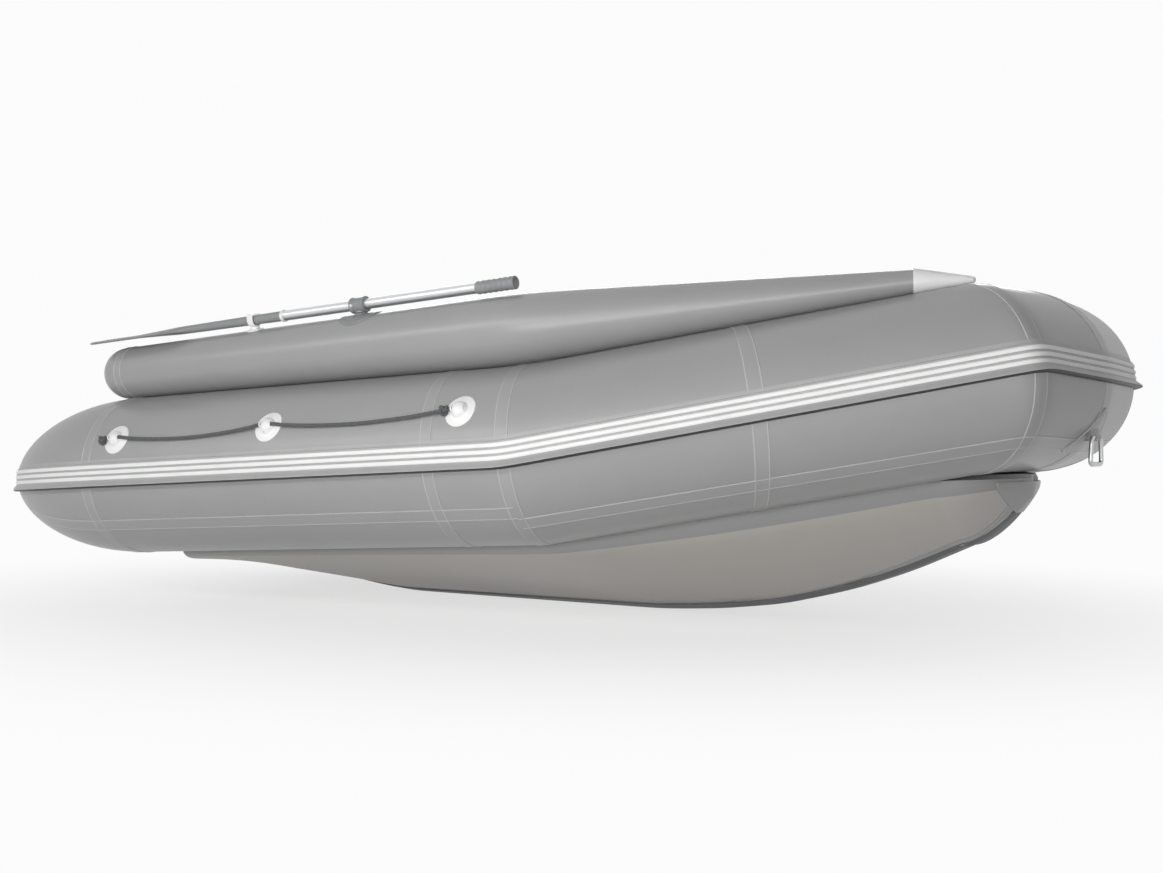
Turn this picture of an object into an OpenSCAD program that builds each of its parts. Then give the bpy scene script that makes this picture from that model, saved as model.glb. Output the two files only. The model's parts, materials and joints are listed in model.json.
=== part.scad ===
// Inflatable boat with bulwark tubes, an air floor with a V keel, oars, benches and a transom.
// Everything is drawn in the boat's own frame (X to the bow, Y to port, Z up from the tubes' centre
// line) and then set down as it parks on a floor, on the flat run of its keel.

/* [Main tubes] */
// Diameter of the main tube
tube_d = 480; // [430:5:520]
// Overall beam over the main tubes
beam = 1870; // [1750:10:2000]
// Length of a stern cone
cone_len = 540; // [450:10:620]
// Straight run from the stern cone to the bow bend
side_len = 1470; // [1400:10:1600]
// Length of the bow taper, along X
taper_len = 1060; // [960:10:1160]
// Width of the nose between the corners of the tube's centre line
nose_w = 556; // [520:4:620]
// Rise of the tube's centre line at the nose
bow_rise = 145; // [120:5:180]
// Forward bulge of the nose on the centre line
nose_bulge = 26; // [10:2:40]

/* [Bulwark tubes] */
// Diameter of a bulwark at its rear end
bulwark_rear_d = 160; // [140:2:170]
// Diameter of a bulwark at the bow bend
bulwark_mid_d = 194; // [180:2:204]
// Diameter of a bulwark at its front end
bulwark_front_d = 60; // [50:2:80]
// Diameter of the small end of a bulwark's tip cone
bulwark_tip_d = 18; // [14:1:30]
// Distance of a bulwark's rear end behind the stern cone's root
bulwark_aft = 128; // [100:2:160]
// Length of a bulwark along the bow taper
bulwark_taper_len = 940; // [900:10:960]
// Length of a tip cone along the bow taper
bulwark_tip_len = 124; // [100:2:140]

/* [Rubbing strake] */
// Height of the strake above the tube's equator
strake_up = 36; // [30:1:42]
// Height of the strake below the tube's equator
strake_down = 36; // [32:1:42]
// Rise of the strake above the tube's equator at the bow
strake_rise = 16; // [0:1:24]
// Thickness of the strake's band
strake_t = 4; // [3:0.5:6]
// Reach of the strake's lower lip beyond the tube
lip_reach = 24; // [16:1:30]
// Width of a stripe
stripe_w = 9; // [6:0.5:11]
// Height of a stripe above the band
stripe_t = 2.5; // [1.5:0.5:4]
// Distance between the stripes' centre lines
stripe_pitch = 17; // [15:0.5:19]

/* [Air floor] */
// Height of the floor's top above the tubes' centre line
deck_z = -105; // [-130:5:-90]
// Height of a rib of the floor
rib_h = 12; // [6:1:18]
// Aft end of the floor
floor_aft = 101; // [90:1:130]
// Distance of the chines inboard of the main tubes' centre lines
chine_in = 90; // [80:2:110]
// Depth of the chines below the tubes' centre line, aft
chine_drop = 270; // [262:1:290]
// Width of the flat keel band
keel_band_w = 90; // [70:2:110]
// Aft end of the keel's straight run
keel_run_aft = 520; // [450:10:600]
// Forward end of the keel's straight run
keel_run_fwd = 1470; // [1400:10:1560]
// Depth of the keel at the aft end of its straight run
keel_aft_drop = 404; // [380:2:420]
// Depth of the keel at the forward end of its straight run
keel_fwd_drop = 459; // [430:2:470]
// Distance of the floor's nose forward of the bow corners
floor_nose_x = 44; // [20:2:60]
// Thickness of the keel's chafe strip
keel_strip_t = 4; // [3:0.5:6]

/* [Transom] */
// Thickness of the transom board
transom_t = 36; // [24:1:45]
// Height of the motor cut-out above the tubes' centre line
transom_top = 116; // [90:2:150]
// Height of the transom's shoulders above the motor cut-out
shoulder_h = 62; // [40:2:80]
// Width of the motor cut-out
motor_w = 440; // [380:10:520]
// Thickness of a motor plate
plate_t = 5; // [3:0.5:8]
// Thickness of the rubber transom holders
holder_t = 14; // [8:1:20]

/* [Benches] */
// Width of a bench board, along X
bench_w = 230; // [180:5:260]
// Thickness of a bench board
bench_t = 14; // [10:1:20]
// Centre of the stern bench
bench_stern_x = 470; // [440:5:520]
// Distance of the bow bench's centre aft of the bow bend
bench_bow_back = 320; // [300:5:370]
// Angle of the bench rails above the tubes' inner side
rail_angle = 42; // [38:1:46]
// Radius of a rail's bead
bead_r = 6; // [5:0.5:7]

/* [Oars] */
// Place of the oarlocks along the boat
oarlock_x = 901; // [860:1:960]
// Outboard tilt of an oarlock's pin
pin_tilt = 10; // [8:1:14]
// Radius of an oarlock's pin
pin_r = 7; // [5:0.5:8]
// Diameter of an oarlock's base patch
lock_base_d = 130; // [110:2:140]
// Radius of an oar's shaft
shaft_r = 15; // [13:0.5:16]
// Wall between an oar's shaft and the outside of its oarlock
lock_wall = 6; // [5:0.5:7]
// Length of an oarlock along the shaft
lock_len = 50; // [40:1:60]
// Reach of the grip's end forward of the pin
grip_reach = 535; // [500:5:560]
// Length of a grip
grip_len = 125; // [100:5:140]
// Length of the shaft aft of the pin
shaft_aft = 290; // [260:5:320]
// Length of the plastic neck
neck_len = 390; // [360:5:400]
// Length of the blade
blade_len = 370; // [330:5:400]
// Width of the blade
blade_w = 150; // [120:5:165]
// Thickness of the blade
blade_t = 8; // [6:0.5:12]
// Place of the oar clips along the boat
clip_x = 498; // [450:1:540]

/* [Handlines] */
// Diameter of a handline
line_d = 11; // [9:0.5:12]
// Diameter of a handline's patches
patch_d = 92; // [80:2:100]
// Thickness of a patch
patch_t = 3; // [2:0.5:4]
// Radius of the eye's dome on a patch
eye_r = 23; // [21:1:27]
// Angle of the first patch above the tube's outer side
patch_angle = 26; // [22:1:28]
// Rise in angle from one patch to the next
patch_rise = 2; // [0:0.5:3]
// Place of the first patch along the boat
patch_aft = 115; // [95:5:140]
// Distance of the last patch aft of the bow bend
patch_back = 97; // [80:1:120]

/* [Tow ring] */
// Angle of the tow ring's pivot below the front of the nose
tow_angle = 39; // [36:1:46]
// Radius of the ring's bar
ring_r = 6; // [5:0.25:7]
// Width of the ring at its pivot, between bar centres
ring_top_w = 86; // [84:1:92]
// Width of the ring at its free end, between bar centres
ring_low_w = 106; // [94:1:116]
// Length of the ring from its pivot to its free end
ring_len = 70; // [62:1:80]
// Width of the sleeve that holds the ring
sleeve_w = 64; // [56:1:66]
// Half width of the tow patch at its base
tow_patch_half = 124; // [110:2:136]
// Reach of the tow patch above the ring's pivot
tow_patch_up = 90; // [80:2:100]
// Reach of the tow patch below the ring's pivot
tow_patch_down = 62; // [50:2:70]

/* [Air valves] */
// Diameter of an air valve
valve_d = 54; // [44:1:60]
// Height of an air valve above the tube
valve_h = 8; // [5:0.5:12]

/* [Hidden] */

fabric_grey = [0.52, 0.54, 0.55];
dark_grey = [0.22, 0.23, 0.24];
pale_grey = [0.78, 0.77, 0.74];
white = [0.93, 0.93, 0.92];
metal = [0.80, 0.82, 0.84];

// Clearance between pieces that lie on each other
seat_gap = 0.4;
// Clearance between an oarlock or ring and what it turns in
turn_gap = 0.3;
tube_r = tube_d / 2;
tube_y = (beam - tube_d) / 2;
nose_x = side_len + taper_len;
corner_y = nose_w / 2;
taper_run = tube_y - corner_y;
taper_angle = atan2(taper_run, taper_len);
rise_angle = atan2(bow_rise, norm([taper_len, taper_run]));
// Angle by which each half of the nose falls back from the boat's centre line
nose_turn = atan2(nose_bulge, corner_y);

// Vectors and lofts

function unit(v) = v / norm(v);
function mix(a, b, t) = a + (b - a) * t;
function rings_of(list, first, last) = [for (i = [first:last]) list[i]];
function flip(list) = [for (i = [len(list) - 1:-1:0]) list[i]];
function mirrored(points) = [for (p = flip(points)) [p[0], -p[1], p[2]]];

// Heading of a path into its station i
function heading(path, i) = unit(i == 0 ? path[1] - path[0] : path[i] - path[i - 1]);
// Normal of the plane in which two runs of a path meet
function mitre(path, i) =
    i == 0 || i == len(path) - 1 ? heading(path, i) : unit(heading(path, i) + heading(path, i + 1));
// One ring of a swept tube: each [outboard, up] point slides along the run to the mitre plane
function swept_ring(path, i, outline) =
    let (d = heading(path, i), n = mitre(path, i), side = unit(cross(d, [0, 0, 1])), up = cross(side, d))
    [for (p = outline)
        let (q = side * p[0] + up * p[1]) path[i] + q - d * ((q * n) / (d * n))];
function circle_points(r, sides) =
    [for (k = [0:sides - 1]) r * [cos(360 * k / sides), sin(360 * k / sides)]];
function swept(path, radii, sides) =
    [for (i = [0:len(path) - 1]) swept_ring(path, i, circle_points(radii[i], sides))];

// Closed skin over a list of rings that all have the same number of points
module loft(rings) {
    m = len(rings[0]);
    n = len(rings);
    walls = [for (i = [0:n - 2], j = [0:m - 1])
        let (a = i * m + j, b = i * m + (j + 1) % m) each [[a, b, b + m], [a, b + m, a + m]]];
    start_cap = [for (j = [m - 1:-1:0]) j];
    end_cap = [for (j = [0:m - 1]) (n - 1) * m + j];
    polyhedron([for (r = rings) each r], concat([start_cap], walls, [end_cap]));
}

// Main tube's centre line

tube_sides = 40;
// Shares of a stern cone's length at which it has a ring
cone_steps = [0.004, 0.035, 0.1, 0.21, 0.36, 0.55, 0.77];
function cone_r(t) = tube_r * pow(1 - pow(1 - t, 2), 0.6);
corner = [nose_x, -corner_y, bow_rise];
bend = [side_len, -tube_y, 0];
nose_top = [nose_x + nose_bulge, 0, bow_rise];
half_path = concat(
    [for (t = cone_steps) [-cone_len * (1 - t), -tube_y, 0]],
    [[0, -tube_y, 0], bend, corner]);
half_radii = concat([for (t = cone_steps) cone_r(t)], [tube_r, tube_r, tube_r]);
tube_path = concat(half_path, [nose_top], mirrored(half_path));
tube_radii = concat(half_radii, [tube_r], flip(half_radii));
tube_rings = swept(tube_path, tube_radii, tube_sides);
stations = len(tube_path);
bend_i = len(cone_steps) + 1;
port_bend_i = stations - 1 - bend_i;

// Height of the main tube's centre line, and its distance from the boat's centre line, at x
function tube_z(x) = x < side_len ? 0 : bow_rise * (x - side_len) / taper_len;
function tube_w(x) = x < side_len ? tube_y : tube_y - taper_run * (x - side_len) / taper_len;

// Parked stance: the keel's straight run lies flat on the floor

keel_bottom_aft = keel_aft_drop + seat_gap + keel_strip_t;
park_trim = atan2(keel_fwd_drop - keel_aft_drop, keel_run_fwd - keel_run_aft);
function turned(p) = [p[0] * cos(park_trim) - p[2] * sin(park_trim), p[1],
                      p[0] * sin(park_trim) + p[2] * cos(park_trim)];
park_z = -turned([keel_run_aft, 0, -keel_bottom_aft])[2];
stern_end_x = min([for (i = [0:bend_i], p = tube_rings[i]) turned(p)[0]]);
bow_end_x =
    turned(nose_top + [(tube_r + lip_reach) / cos(nose_turn), 0, strake_rise - strake_down])[0];
park_x = -(stern_end_x + bow_end_x) / 2;

module parked() {
    translate([park_x, 0, park_z])
        rotate([0, -park_trim, 0])
            children();
}

// Draws a starboard piece on its own side, or mirrored to port
module on_side(port) {
    parked()
        mirror([0, port ? 1 : 0, 0])
            children();
}

// A side chamber's ring at the bow bend, set back from the bow chamber by a clearance
function set_aft(ring) = [for (p = ring) p - [seat_gap, 0, 0]];

module tube_starboard() {
    color(fabric_grey)
        parked()
            loft(concat(rings_of(tube_rings, 0, bend_i - 1), [set_aft(tube_rings[bend_i])]));
}

module tube_bow() {
    color(fabric_grey)
        parked()
            loft(rings_of(tube_rings, bend_i, port_bend_i));
}

module tube_port() {
    color(fabric_grey)
        parked()
            loft(concat([set_aft(tube_rings[port_bend_i])],
                rings_of(tube_rings, port_bend_i + 1, stations - 1)));
}

// Bulwark tubes

bulwark_sides = 28;
bulwark_rear_r = bulwark_rear_d / 2;
bulwark_mid_r = bulwark_mid_d / 2;
bulwark_front_r = bulwark_front_d / 2;
bulwark_tip_r = bulwark_tip_d / 2;
bulwark_root_x = bulwark_rear_r - bulwark_aft;
// A bulwark bends aft of the main tube's bend, so that both its runs lie on the crown
bulwark_bend_x = side_len - (tube_r + bulwark_mid_r) * tan(rise_angle / 2);
bulwark_front_x = side_len + bulwark_taper_len;
bulwark_tip_x = bulwark_front_x + bulwark_tip_len;
// Angles of the rings on a bulwark's domed rear end
dome_steps = [12, 34, 56, 75];
// Centre of a bulwark of radius r that lies on the main tube's crown at x
function bulwark_axis(x, r) =
    [x, -tube_w(x), tube_z(x) + (tube_r + seat_gap + r) / (x < side_len ? 1 : cos(rise_angle))];
// Radius of a bulwark on its straight run
function bulwark_r(x) =
    mix(bulwark_rear_r, bulwark_mid_r, (x - bulwark_root_x) / (bulwark_bend_x - bulwark_root_x));
bulwark_root = bulwark_axis(bulwark_root_x, bulwark_rear_r);
bulwark_bend = bulwark_axis(bulwark_bend_x, bulwark_mid_r);
bulwark_path = concat(
    [for (a = dome_steps) bulwark_root - [bulwark_rear_r * cos(a), 0, 0]],
    [bulwark_root, bulwark_bend,
     bulwark_axis(bulwark_front_x, bulwark_front_r), bulwark_axis(bulwark_tip_x, bulwark_tip_r)]);
bulwark_radii = concat([for (a = dome_steps) bulwark_rear_r * sin(a)],
    [bulwark_rear_r, bulwark_mid_r, bulwark_front_r, bulwark_tip_r]);
bulwark_rings = swept(bulwark_path, bulwark_radii, bulwark_sides);
bulwark_end_i = len(bulwark_path) - 2;
// Slope of a bulwark's crown on its straight run
crown_slope = atan2(bulwark_mid_d - bulwark_rear_d, bulwark_bend_x - bulwark_root_x);

module bulwark(port) {
    color(fabric_grey)
        on_side(port)
            loft(rings_of(bulwark_rings, 0, bulwark_end_i));
}

module bulwark_tip(port) {
    color(white)
        on_side(port)
            loft(rings_of(bulwark_rings, bulwark_end_i, bulwark_end_i + 1));
}

// Rubbing strake

// Stations of the tube between which the strake runs, and how it narrows on the cones
strake_first = 1;
strake_last = stations - 1 - strake_first;
function strake_scale(r) = min(1, r / 110);
// Outside of a tube of radius r at height v from its equator, lifted by t
function shell_u(r, v, t) = sqrt(pow(r + t, 2) - v * v);
// Outline on a tube of radius r from points [height, lift off the tube], all raised by rise
function on_shell(r, points, rise) = [for (p = points) [shell_u(r, p[0] + rise, p[1]), p[0] + rise]];
// Rise of the strake at station i of the tube: none along the sides, all of it round the nose
function rise_at(i) = i > bend_i && i < port_bend_i ? strake_rise : 0;
// Outline of the strake at station i, from the lip up and back down the inner face
function strake_outline(i) =
    let (r = tube_radii[i], k = strake_scale(r), top = strake_up * k, low = -strake_down * k,
         lip = lip_reach * k, t = seat_gap + strake_t * k)
    on_shell(r, concat(
        [[low, lip * 0.8], [low * 0.84, lip], [low * 0.68, lip * 0.9]],
        [for (s = [-0.56, -0.1, 0.36, 0.78]) [top * s, t]],
        [[top, t * 0.7]],
        [for (s = [1, 0.5, 0, -0.5, -1]) [s > 0 ? top * s : -low * s, seat_gap]]), rise_at(i));
// Outline at station i of one stripe whose centre line lies at height v on the strake
function stripe_outline(i, v) =
    let (r = tube_radii[i], k = strake_scale(r), base = seat_gap * 2 + strake_t * k,
         half = stripe_w * k / 2, c = v * k)
    on_shell(r, concat(
        [[c - half, base]],
        [for (s = [-0.6, 0, 0.6]) [c + half * s, base + stripe_t * k * (1 - 0.4 * abs(s))]],
        [[c + half, base]]), rise_at(i));
// Heights of the stripes' centre lines
stripe_heights = [for (i = [-1:1]) strake_up / 4 + i * stripe_pitch];

module rub_strake() {
    color(fabric_grey)
        parked()
            loft([for (i = [strake_first:strake_last])
                swept_ring(tube_path, i, strake_outline(i))]);
}

module strake_stripes() {
    color(white)
        parked()
            for (v = stripe_heights)
                loft([for (i = [strake_first:strake_last])
                    swept_ring(tube_path, i, stripe_outline(i, v))]);
}

// Air floor with its V bottom

// Clearance between the floor and the main tubes, and what is added where the deck dips
floor_gap = 1;
dip_extra = 3;
// Angle round the main tube, below its inner side, at which the bottom is joined to it
seam_angle = 78;
arc_steps = 8;
rib_count = 5;
// Foremost section that follows the main tubes, by how far it lies under the nose tube
arc_under = 110;
arc_fwd = nose_x - tube_r + arc_under;
floor_nose = nose_x + floor_nose_x;
nose_mid_z = -128;
// The floor dips below the nose tube: how far ahead it looks at the tube, and its clearance there
dip_ahead = 100;
dip_gap = 10;
// Outward swell of the side wall at its middle, and of the bottom panel at its two middle points
wall_swell = [9, -4];
panel_swell = [7, 5];
panel_steps = [0.35, 0.7];
// Columns: share of the nose's length, share of the width kept, share of the height lost
nose_steps = [[0.35, 0.93, 0.14], [0.65, 0.74, 0.36], [0.87, 0.48, 0.6], [1, 0.2, 0.8]];
// Rise of the keel's aft end above the chines, and drop of the chines along the keel's straight run
keel_start_rise = 6;
chine_run_drop = 10;
// Bottom aft of the keel's straight run. Columns: share of the way, share of the keel's depth
aft_lines = [[0.212, 0.18], [0.547, 0.72]];
// Bottom ahead of the keel's straight run. Columns: share of the way, rise of the chine, rise of the keel
fore_lines = [[0.215, 2, 2], [0.43, 20, 17], [0.624, 42, 53], [0.785, 64, 96], [0.85, 74, 117],
    [0.914, 84, 141], [1, 96, 172]];
// Sections of the bottom. Columns: x, chine height, keel height
sections = concat(
    [[floor_aft, -chine_drop, -chine_drop + keel_start_rise]],
    [for (l = aft_lines)
        [mix(floor_aft, keel_run_aft, l[0]), -chine_drop, -mix(chine_drop, keel_aft_drop, l[1])]],
    [[keel_run_aft, -chine_drop, -keel_aft_drop],
     [keel_run_fwd, -chine_drop - chine_run_drop, -keel_fwd_drop]],
    [for (l = fore_lines)
        [mix(keel_run_fwd, arc_fwd, l[0]), -chine_drop + l[1], -keel_fwd_drop + l[2]]]);
keel_flat = keel_band_w / 2;
// Underside of the nose tube at x, which the floor's front passes below
function nose_under(x) =
    let (d = x - nose_x) d < -tube_r ? bow_rise : bow_rise - sqrt(tube_r * tube_r - d * d);
// Height of the floor's top at x
function deck_at(x) = min(deck_z + tube_z(x), nose_under(x + dip_ahead) - dip_gap);
// Clearance of the floor from the main tubes at x
function gap_at(x) = floor_gap + (deck_at(x) < deck_z + tube_z(x) ? dip_extra : 0);
// Half width and height of the bottom at a share t of the way from its chine to its keel
function panel_point(s, t, swell) =
    [mix(tube_w(s[0]) - chine_in, keel_flat, t), mix(s[1], s[2], t) - swell];
function chine_point(s) = panel_point(s, 0, 0);
function keel_point(s) = panel_point(s, 1, 0);
function middle_point(s, i) = panel_point(s, panel_steps[i], panel_swell[i]);
// Half of a section's outline, from the deck's centre round to the keel: [half width, height]
function half_section(s) =
    let (x = s[0], zc = tube_z(x), wc = tube_w(x), top = deck_at(x),
         ay = tube_r / (x < side_len ? 1 : cos(taper_angle)) + gap_at(x),
         az = tube_r / (x < side_len ? 1 : cos(rise_angle)) + gap_at(x),
         first = asin((zc - top) / az), pitch = (wc - ay * cos(first)) / rib_count,
         seam = [wc - ay * cos(seam_angle), zc - az * sin(seam_angle)])
    concat(
        [for (i = [0:rib_count - 1], k = [0, 0.25, 0.5, 0.75])
            [(i + k) * pitch, top + rib_h * sin(180 * k)]],
        [for (i = [0:arc_steps])
            let (a = mix(first, seam_angle, i / arc_steps)) [wc - ay * cos(a), zc - az * sin(a)]],
        [mix(seam, chine_point(s), 0.55) + wall_swell, chine_point(s),
         middle_point(s, 0), middle_point(s, 1), keel_point(s)]);
// A half outline of the foremost section drawn in towards the floor's nose
function nose_section(half, step) = [for (p = half) [p[0] * step[1], mix(p[1], nose_mid_z, step[2])]];
// A whole ring from a half outline; the point on the centre line is used once
function floor_ring(x, half) = concat(
    [for (p = half) [x, p[0], p[1]]],
    [for (p = flip(half)) if (p[0] > 0) [x, -p[0], p[1]]]);
function nose_at(step) = mix(arc_fwd, floor_nose, step[0]);
fore_section = sections[len(sections) - 1];

module air_floor() {
    color(pale_grey)
        parked()
            loft(concat(
                [for (s = sections) floor_ring(s[0], half_section(s))],
                [for (step = nose_steps)
                    floor_ring(nose_at(step), nose_section(half_section(fore_section), step))]));
}

// Width of the chafe strip's wings on the sloping panels
wing_w = 34;
// Clearance of the wings' edges, which lie on a slightly twisted panel
wing_gap = [0, -2.6];
// First section under which the strip runs, and how far it follows the nose
strip_first = 2;
strip_nose_steps = 2;
// Half of the chafe strip's outline below a section of the bottom, lower face first
function half_strip(s) =
    let (inner = keel_point(s), outer = middle_point(s, 1),
         wing = inner + unit(outer - inner) * wing_w, low = [0, -keel_strip_t], gap = [0, -seat_gap])
    [wing + wing_gap, wing + wing_gap + low * 0.6, inner + gap + low, inner + gap];
// Closed ring of the chafe strip: round the port half, then back round the starboard half
function strip_ring(x, h) = concat(
    [for (i = [0:2]) [x, h[i][0], h[i][1]]],
    [for (i = [2:-1:0]) [x, -h[i][0], h[i][1]]],
    [for (side = [-1, 1]) [x, side * h[3][0], h[3][1]]]);

module keel_strip() {
    color(dark_grey)
        parked()
            loft(concat(
                [for (s = rings_of(sections, strip_first, len(sections) - 1))
                    strip_ring(s[0], half_strip(s))],
                [for (step = rings_of(nose_steps, 0, strip_nose_steps - 1))
                    strip_ring(nose_at(step), nose_section(half_strip(fore_section), step))]));
}

// Pieces on the straight runs of the main tubes

// Cylinder on a straight main tube's axis, larger than the tube by t
module side_cylinder(t, x0, x1) {
    translate([x0, -tube_y, 0])
        rotate([0, 90, 0])
            cylinder(r = tube_r + t, h = x1 - x0, $fn = 240);
}

// Prism along X over a flat shape drawn in Y and Z
module along_x(x0, x1) {
    translate([x0, 0, 0])
        rotate([90, 0, 90])
            linear_extrude(x1 - x0)
                children();
}

// Transom

transom_tilt = 8;
transom_foot = -chine_drop + 14;
transom_front = floor_aft - 1;
shoulder_top = transom_top + shoulder_h;
// Reach along the boat of the cutters that fit pieces to the tubes at the transom
cut_from = -200;
cut_to = 400;
// Length of the holders fore and aft of the board, and their lower and upper ends
holder_len = 45;
holder_low = deck_z + rib_h + 5;
holder_high = tube_r * 0.66;
// The board's corners: how far its foot and hip lie inboard of the tube's centre line, and the hip's height
foot_in = 300;
hip_in = 130;
hip_h = 130;
// Motor plates: shares of the motor cut-out's width, heights, and how far they start below its edge
outer_plate = [0.7, 200];
inner_plate = [0.6, 120];
plate_drop = 10;

// Frame of the board: its front face is local x = 0, its lower edge turns at the foot
module transom_frame() {
    translate([transom_front, 0, transom_foot])
        rotate([0, -transom_tilt, 0])
            translate([0, 0, -transom_foot])
                children();
}

module transom_board() {
    foot_w = tube_y - foot_in;
    hip_w = tube_y - hip_in;
    color(pale_grey)
        parked()
            difference() {
                transom_frame()
                    along_x(-transom_t, 0)
                        polygon([[-foot_w, transom_foot], [foot_w, transom_foot],
                            [hip_w, transom_foot + hip_h], [hip_w, shoulder_top],
                            [motor_w / 2 + shoulder_h, shoulder_top], [motor_w / 2, transom_top],
                            [-motor_w / 2, transom_top], [-motor_w / 2 - shoulder_h, shoulder_top],
                            [-hip_w, shoulder_top], [-hip_w, transom_foot + hip_h]]);
                for (side = [0, 1])
                    mirror([0, side, 0])
                        side_cylinder(seat_gap, cut_from, cut_to);
            }
}

module transom_plates() {
    outer_w = motor_w * outer_plate[0];
    inner_w = motor_w * inner_plate[0];
    color(dark_grey)
        parked()
            transom_frame() {
                translate([-transom_t - seat_gap - plate_t, -outer_w / 2,
                        transom_top - plate_drop - outer_plate[1]])
                    cube([plate_t, outer_w, outer_plate[1]]);
                translate([seat_gap, -inner_w / 2, transom_top - plate_drop - inner_plate[1]])
                    cube([plate_t, inner_w, inner_plate[1]]);
            }
}

module transom_holders() {
    color(dark_grey)
        parked()
            for (side = [0, 1])
                mirror([0, side, 0])
                    difference() {
                        intersection() {
                            side_cylinder(seat_gap + holder_t, cut_from, cut_to);
                            transom_frame()
                                translate([-transom_t - holder_len, -tube_y, holder_low])
                                    cube([transom_t + holder_len * 2, tube_r + holder_t * 2,
                                        holder_high - holder_low]);
                        }
                        side_cylinder(seat_gap, cut_from, cut_to);
                        transom_frame()
                            translate([-transom_t - seat_gap, -tube_y, -tube_r * 2])
                                cube([transom_t + seat_gap * 2, tube_r * 2, tube_r * 4]);
                    }
}

// Bench rails and benches

bench_bow_x = side_len - bench_bow_back;
rail_aft = 230;
rail_fwd_gap = 50;
rail_fwd = side_len - rail_fwd_gap;
// Rail: thickness and width of its glued foot, and the bead's height above the tube
rail_foot_t = 2;
rail_foot_w = 32;
bead_reach = tube_r + seat_gap + 11;
bead_y = -tube_y + bead_reach * cos(rail_angle);
bead_z = bead_reach * sin(rail_angle);
// Flange of a clip that carries the board: its height above the bead and its width
flange_h = 17;
flange_w = 36;
// Running clearance of a clip on its rail
slide_gap = 0.6;
web_t = 3;
clip_len = bench_w - 40;

// Flat shapes on the starboard rail, with the radial direction along local X
module rail_frame() {
    translate([-tube_y, 0])
        rotate(rail_angle)
            children();
}

module bench_rails() {
    color(dark_grey)
        parked()
            for (side = [0, 1])
                mirror([0, side, 0])
                    along_x(rail_aft, rail_fwd)
                        rail_frame() {
                            translate([tube_r + seat_gap, -rail_foot_w / 2])
                                square([rail_foot_t, rail_foot_w]);
                            translate([tube_r + seat_gap, -web_t / 2])
                                square([bead_reach - tube_r, web_t]);
                            translate([bead_reach, 0])
                                circle(bead_r, $fn = 32);
                        }
}

// Pair of clips that run on the rails' beads and carry a bench centred at x
module bench_clips(x) {
    body = bead_r + 5;
    color(metal)
        parked()
            for (side = [0, 1])
                mirror([0, side, 0])
                    along_x(x - clip_len / 2, x + clip_len / 2)
                        difference() {
                            union() {
                                rail_frame()
                                    translate([bead_reach - bead_r, -body])
                                        square([bead_r + body, body * 2]);
                                translate([bead_y - bead_r, bead_z + bead_r / 2])
                                    square([flange_w, flange_h - bead_r / 2]);
                            }
                            rail_frame() {
                                translate([bead_reach, 0])
                                    circle(bead_r + slide_gap, $fn = 32);
                                translate([bead_reach - body, -web_t / 2 - slide_gap])
                                    square([body, web_t + slide_gap * 2]);
                            }
                        }
}

// Bench board centred at x, with rounded corners
module bench_board(x) {
    half = -bead_y + bead_r;
    round_r = 30;
    color(pale_grey)
        parked()
            translate([x, 0, bead_z + flange_h + seat_gap])
                linear_extrude(bench_t) {
                    square([bench_w, half * 2 - round_r * 2], center = true);
                    square([bench_w - round_r * 2, half * 2], center = true);
                    for (sx = [-1, 1], sy = [-1, 1])
                        translate([sx * (bench_w / 2 - round_r), sy * (half - round_r)])
                            circle(round_r, $fn = 48);
                }
}

// Handlines and their patches

// Share of the way from the first eye to the last at which the middle one lies
eye_middle = 0.477;
eye_fwd = side_len - patch_back;
eye_xs = [patch_aft, mix(patch_aft, eye_fwd, eye_middle), eye_fwd];
function eye_angle(i) = patch_angle + patch_rise * i;
line_r = line_d / 2;
line_sides = 8;
// Clearance of a handline in an eye
eye_gap = 1;
// Height of a handline's centre above the tube where it passes an eye
eye_lift = seat_gap + patch_t + 9;

module line_patches(port) {
    color(white)
        on_side(port)
            for (i = [0:2])
                translate([eye_xs[i], -tube_y, 0])
                    rotate([90 - eye_angle(i), 0, 0])
                        difference() {
                            union() {
                                intersection() {
                                    translate([0, 0, tube_r - eye_r])
                                        cylinder(d = patch_d, h = eye_r * 2, $fn = 64);
                                    rotate([0, 90, 0])
                                        cylinder(r = tube_r + seat_gap + patch_t, h = patch_d * 2,
                                            center = true, $fn = 240);
                                }
                                translate([0, 0, tube_r])
                                    sphere(eye_r, $fn = 48);
                            }
                            rotate([0, 90, 0]) {
                                cylinder(r = tube_r + seat_gap, h = patch_d * 2, center = true, $fn = 240);
                                translate([-tube_r - eye_lift, 0, 0])
                                    cylinder(r = line_r + eye_gap, h = patch_d, center = true, $fn = 32);
                            }
                        }
}

// Half the straight run of a handline through an eye, and its height over the tube between eyes
eye_run = 29;
rest_lift = line_r + 1;
// Drop of a handline's angle between two eyes
sag_angle = 4;
// Columns: share of the way between two eyes, share of the sag
span_steps = [[0.07, 0.3], [0.25, 0.75], [0.5, 1], [0.75, 0.75], [0.93, 0.3]];
// A handline's end beyond the middle of its last eye
line_end = 18;
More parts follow.
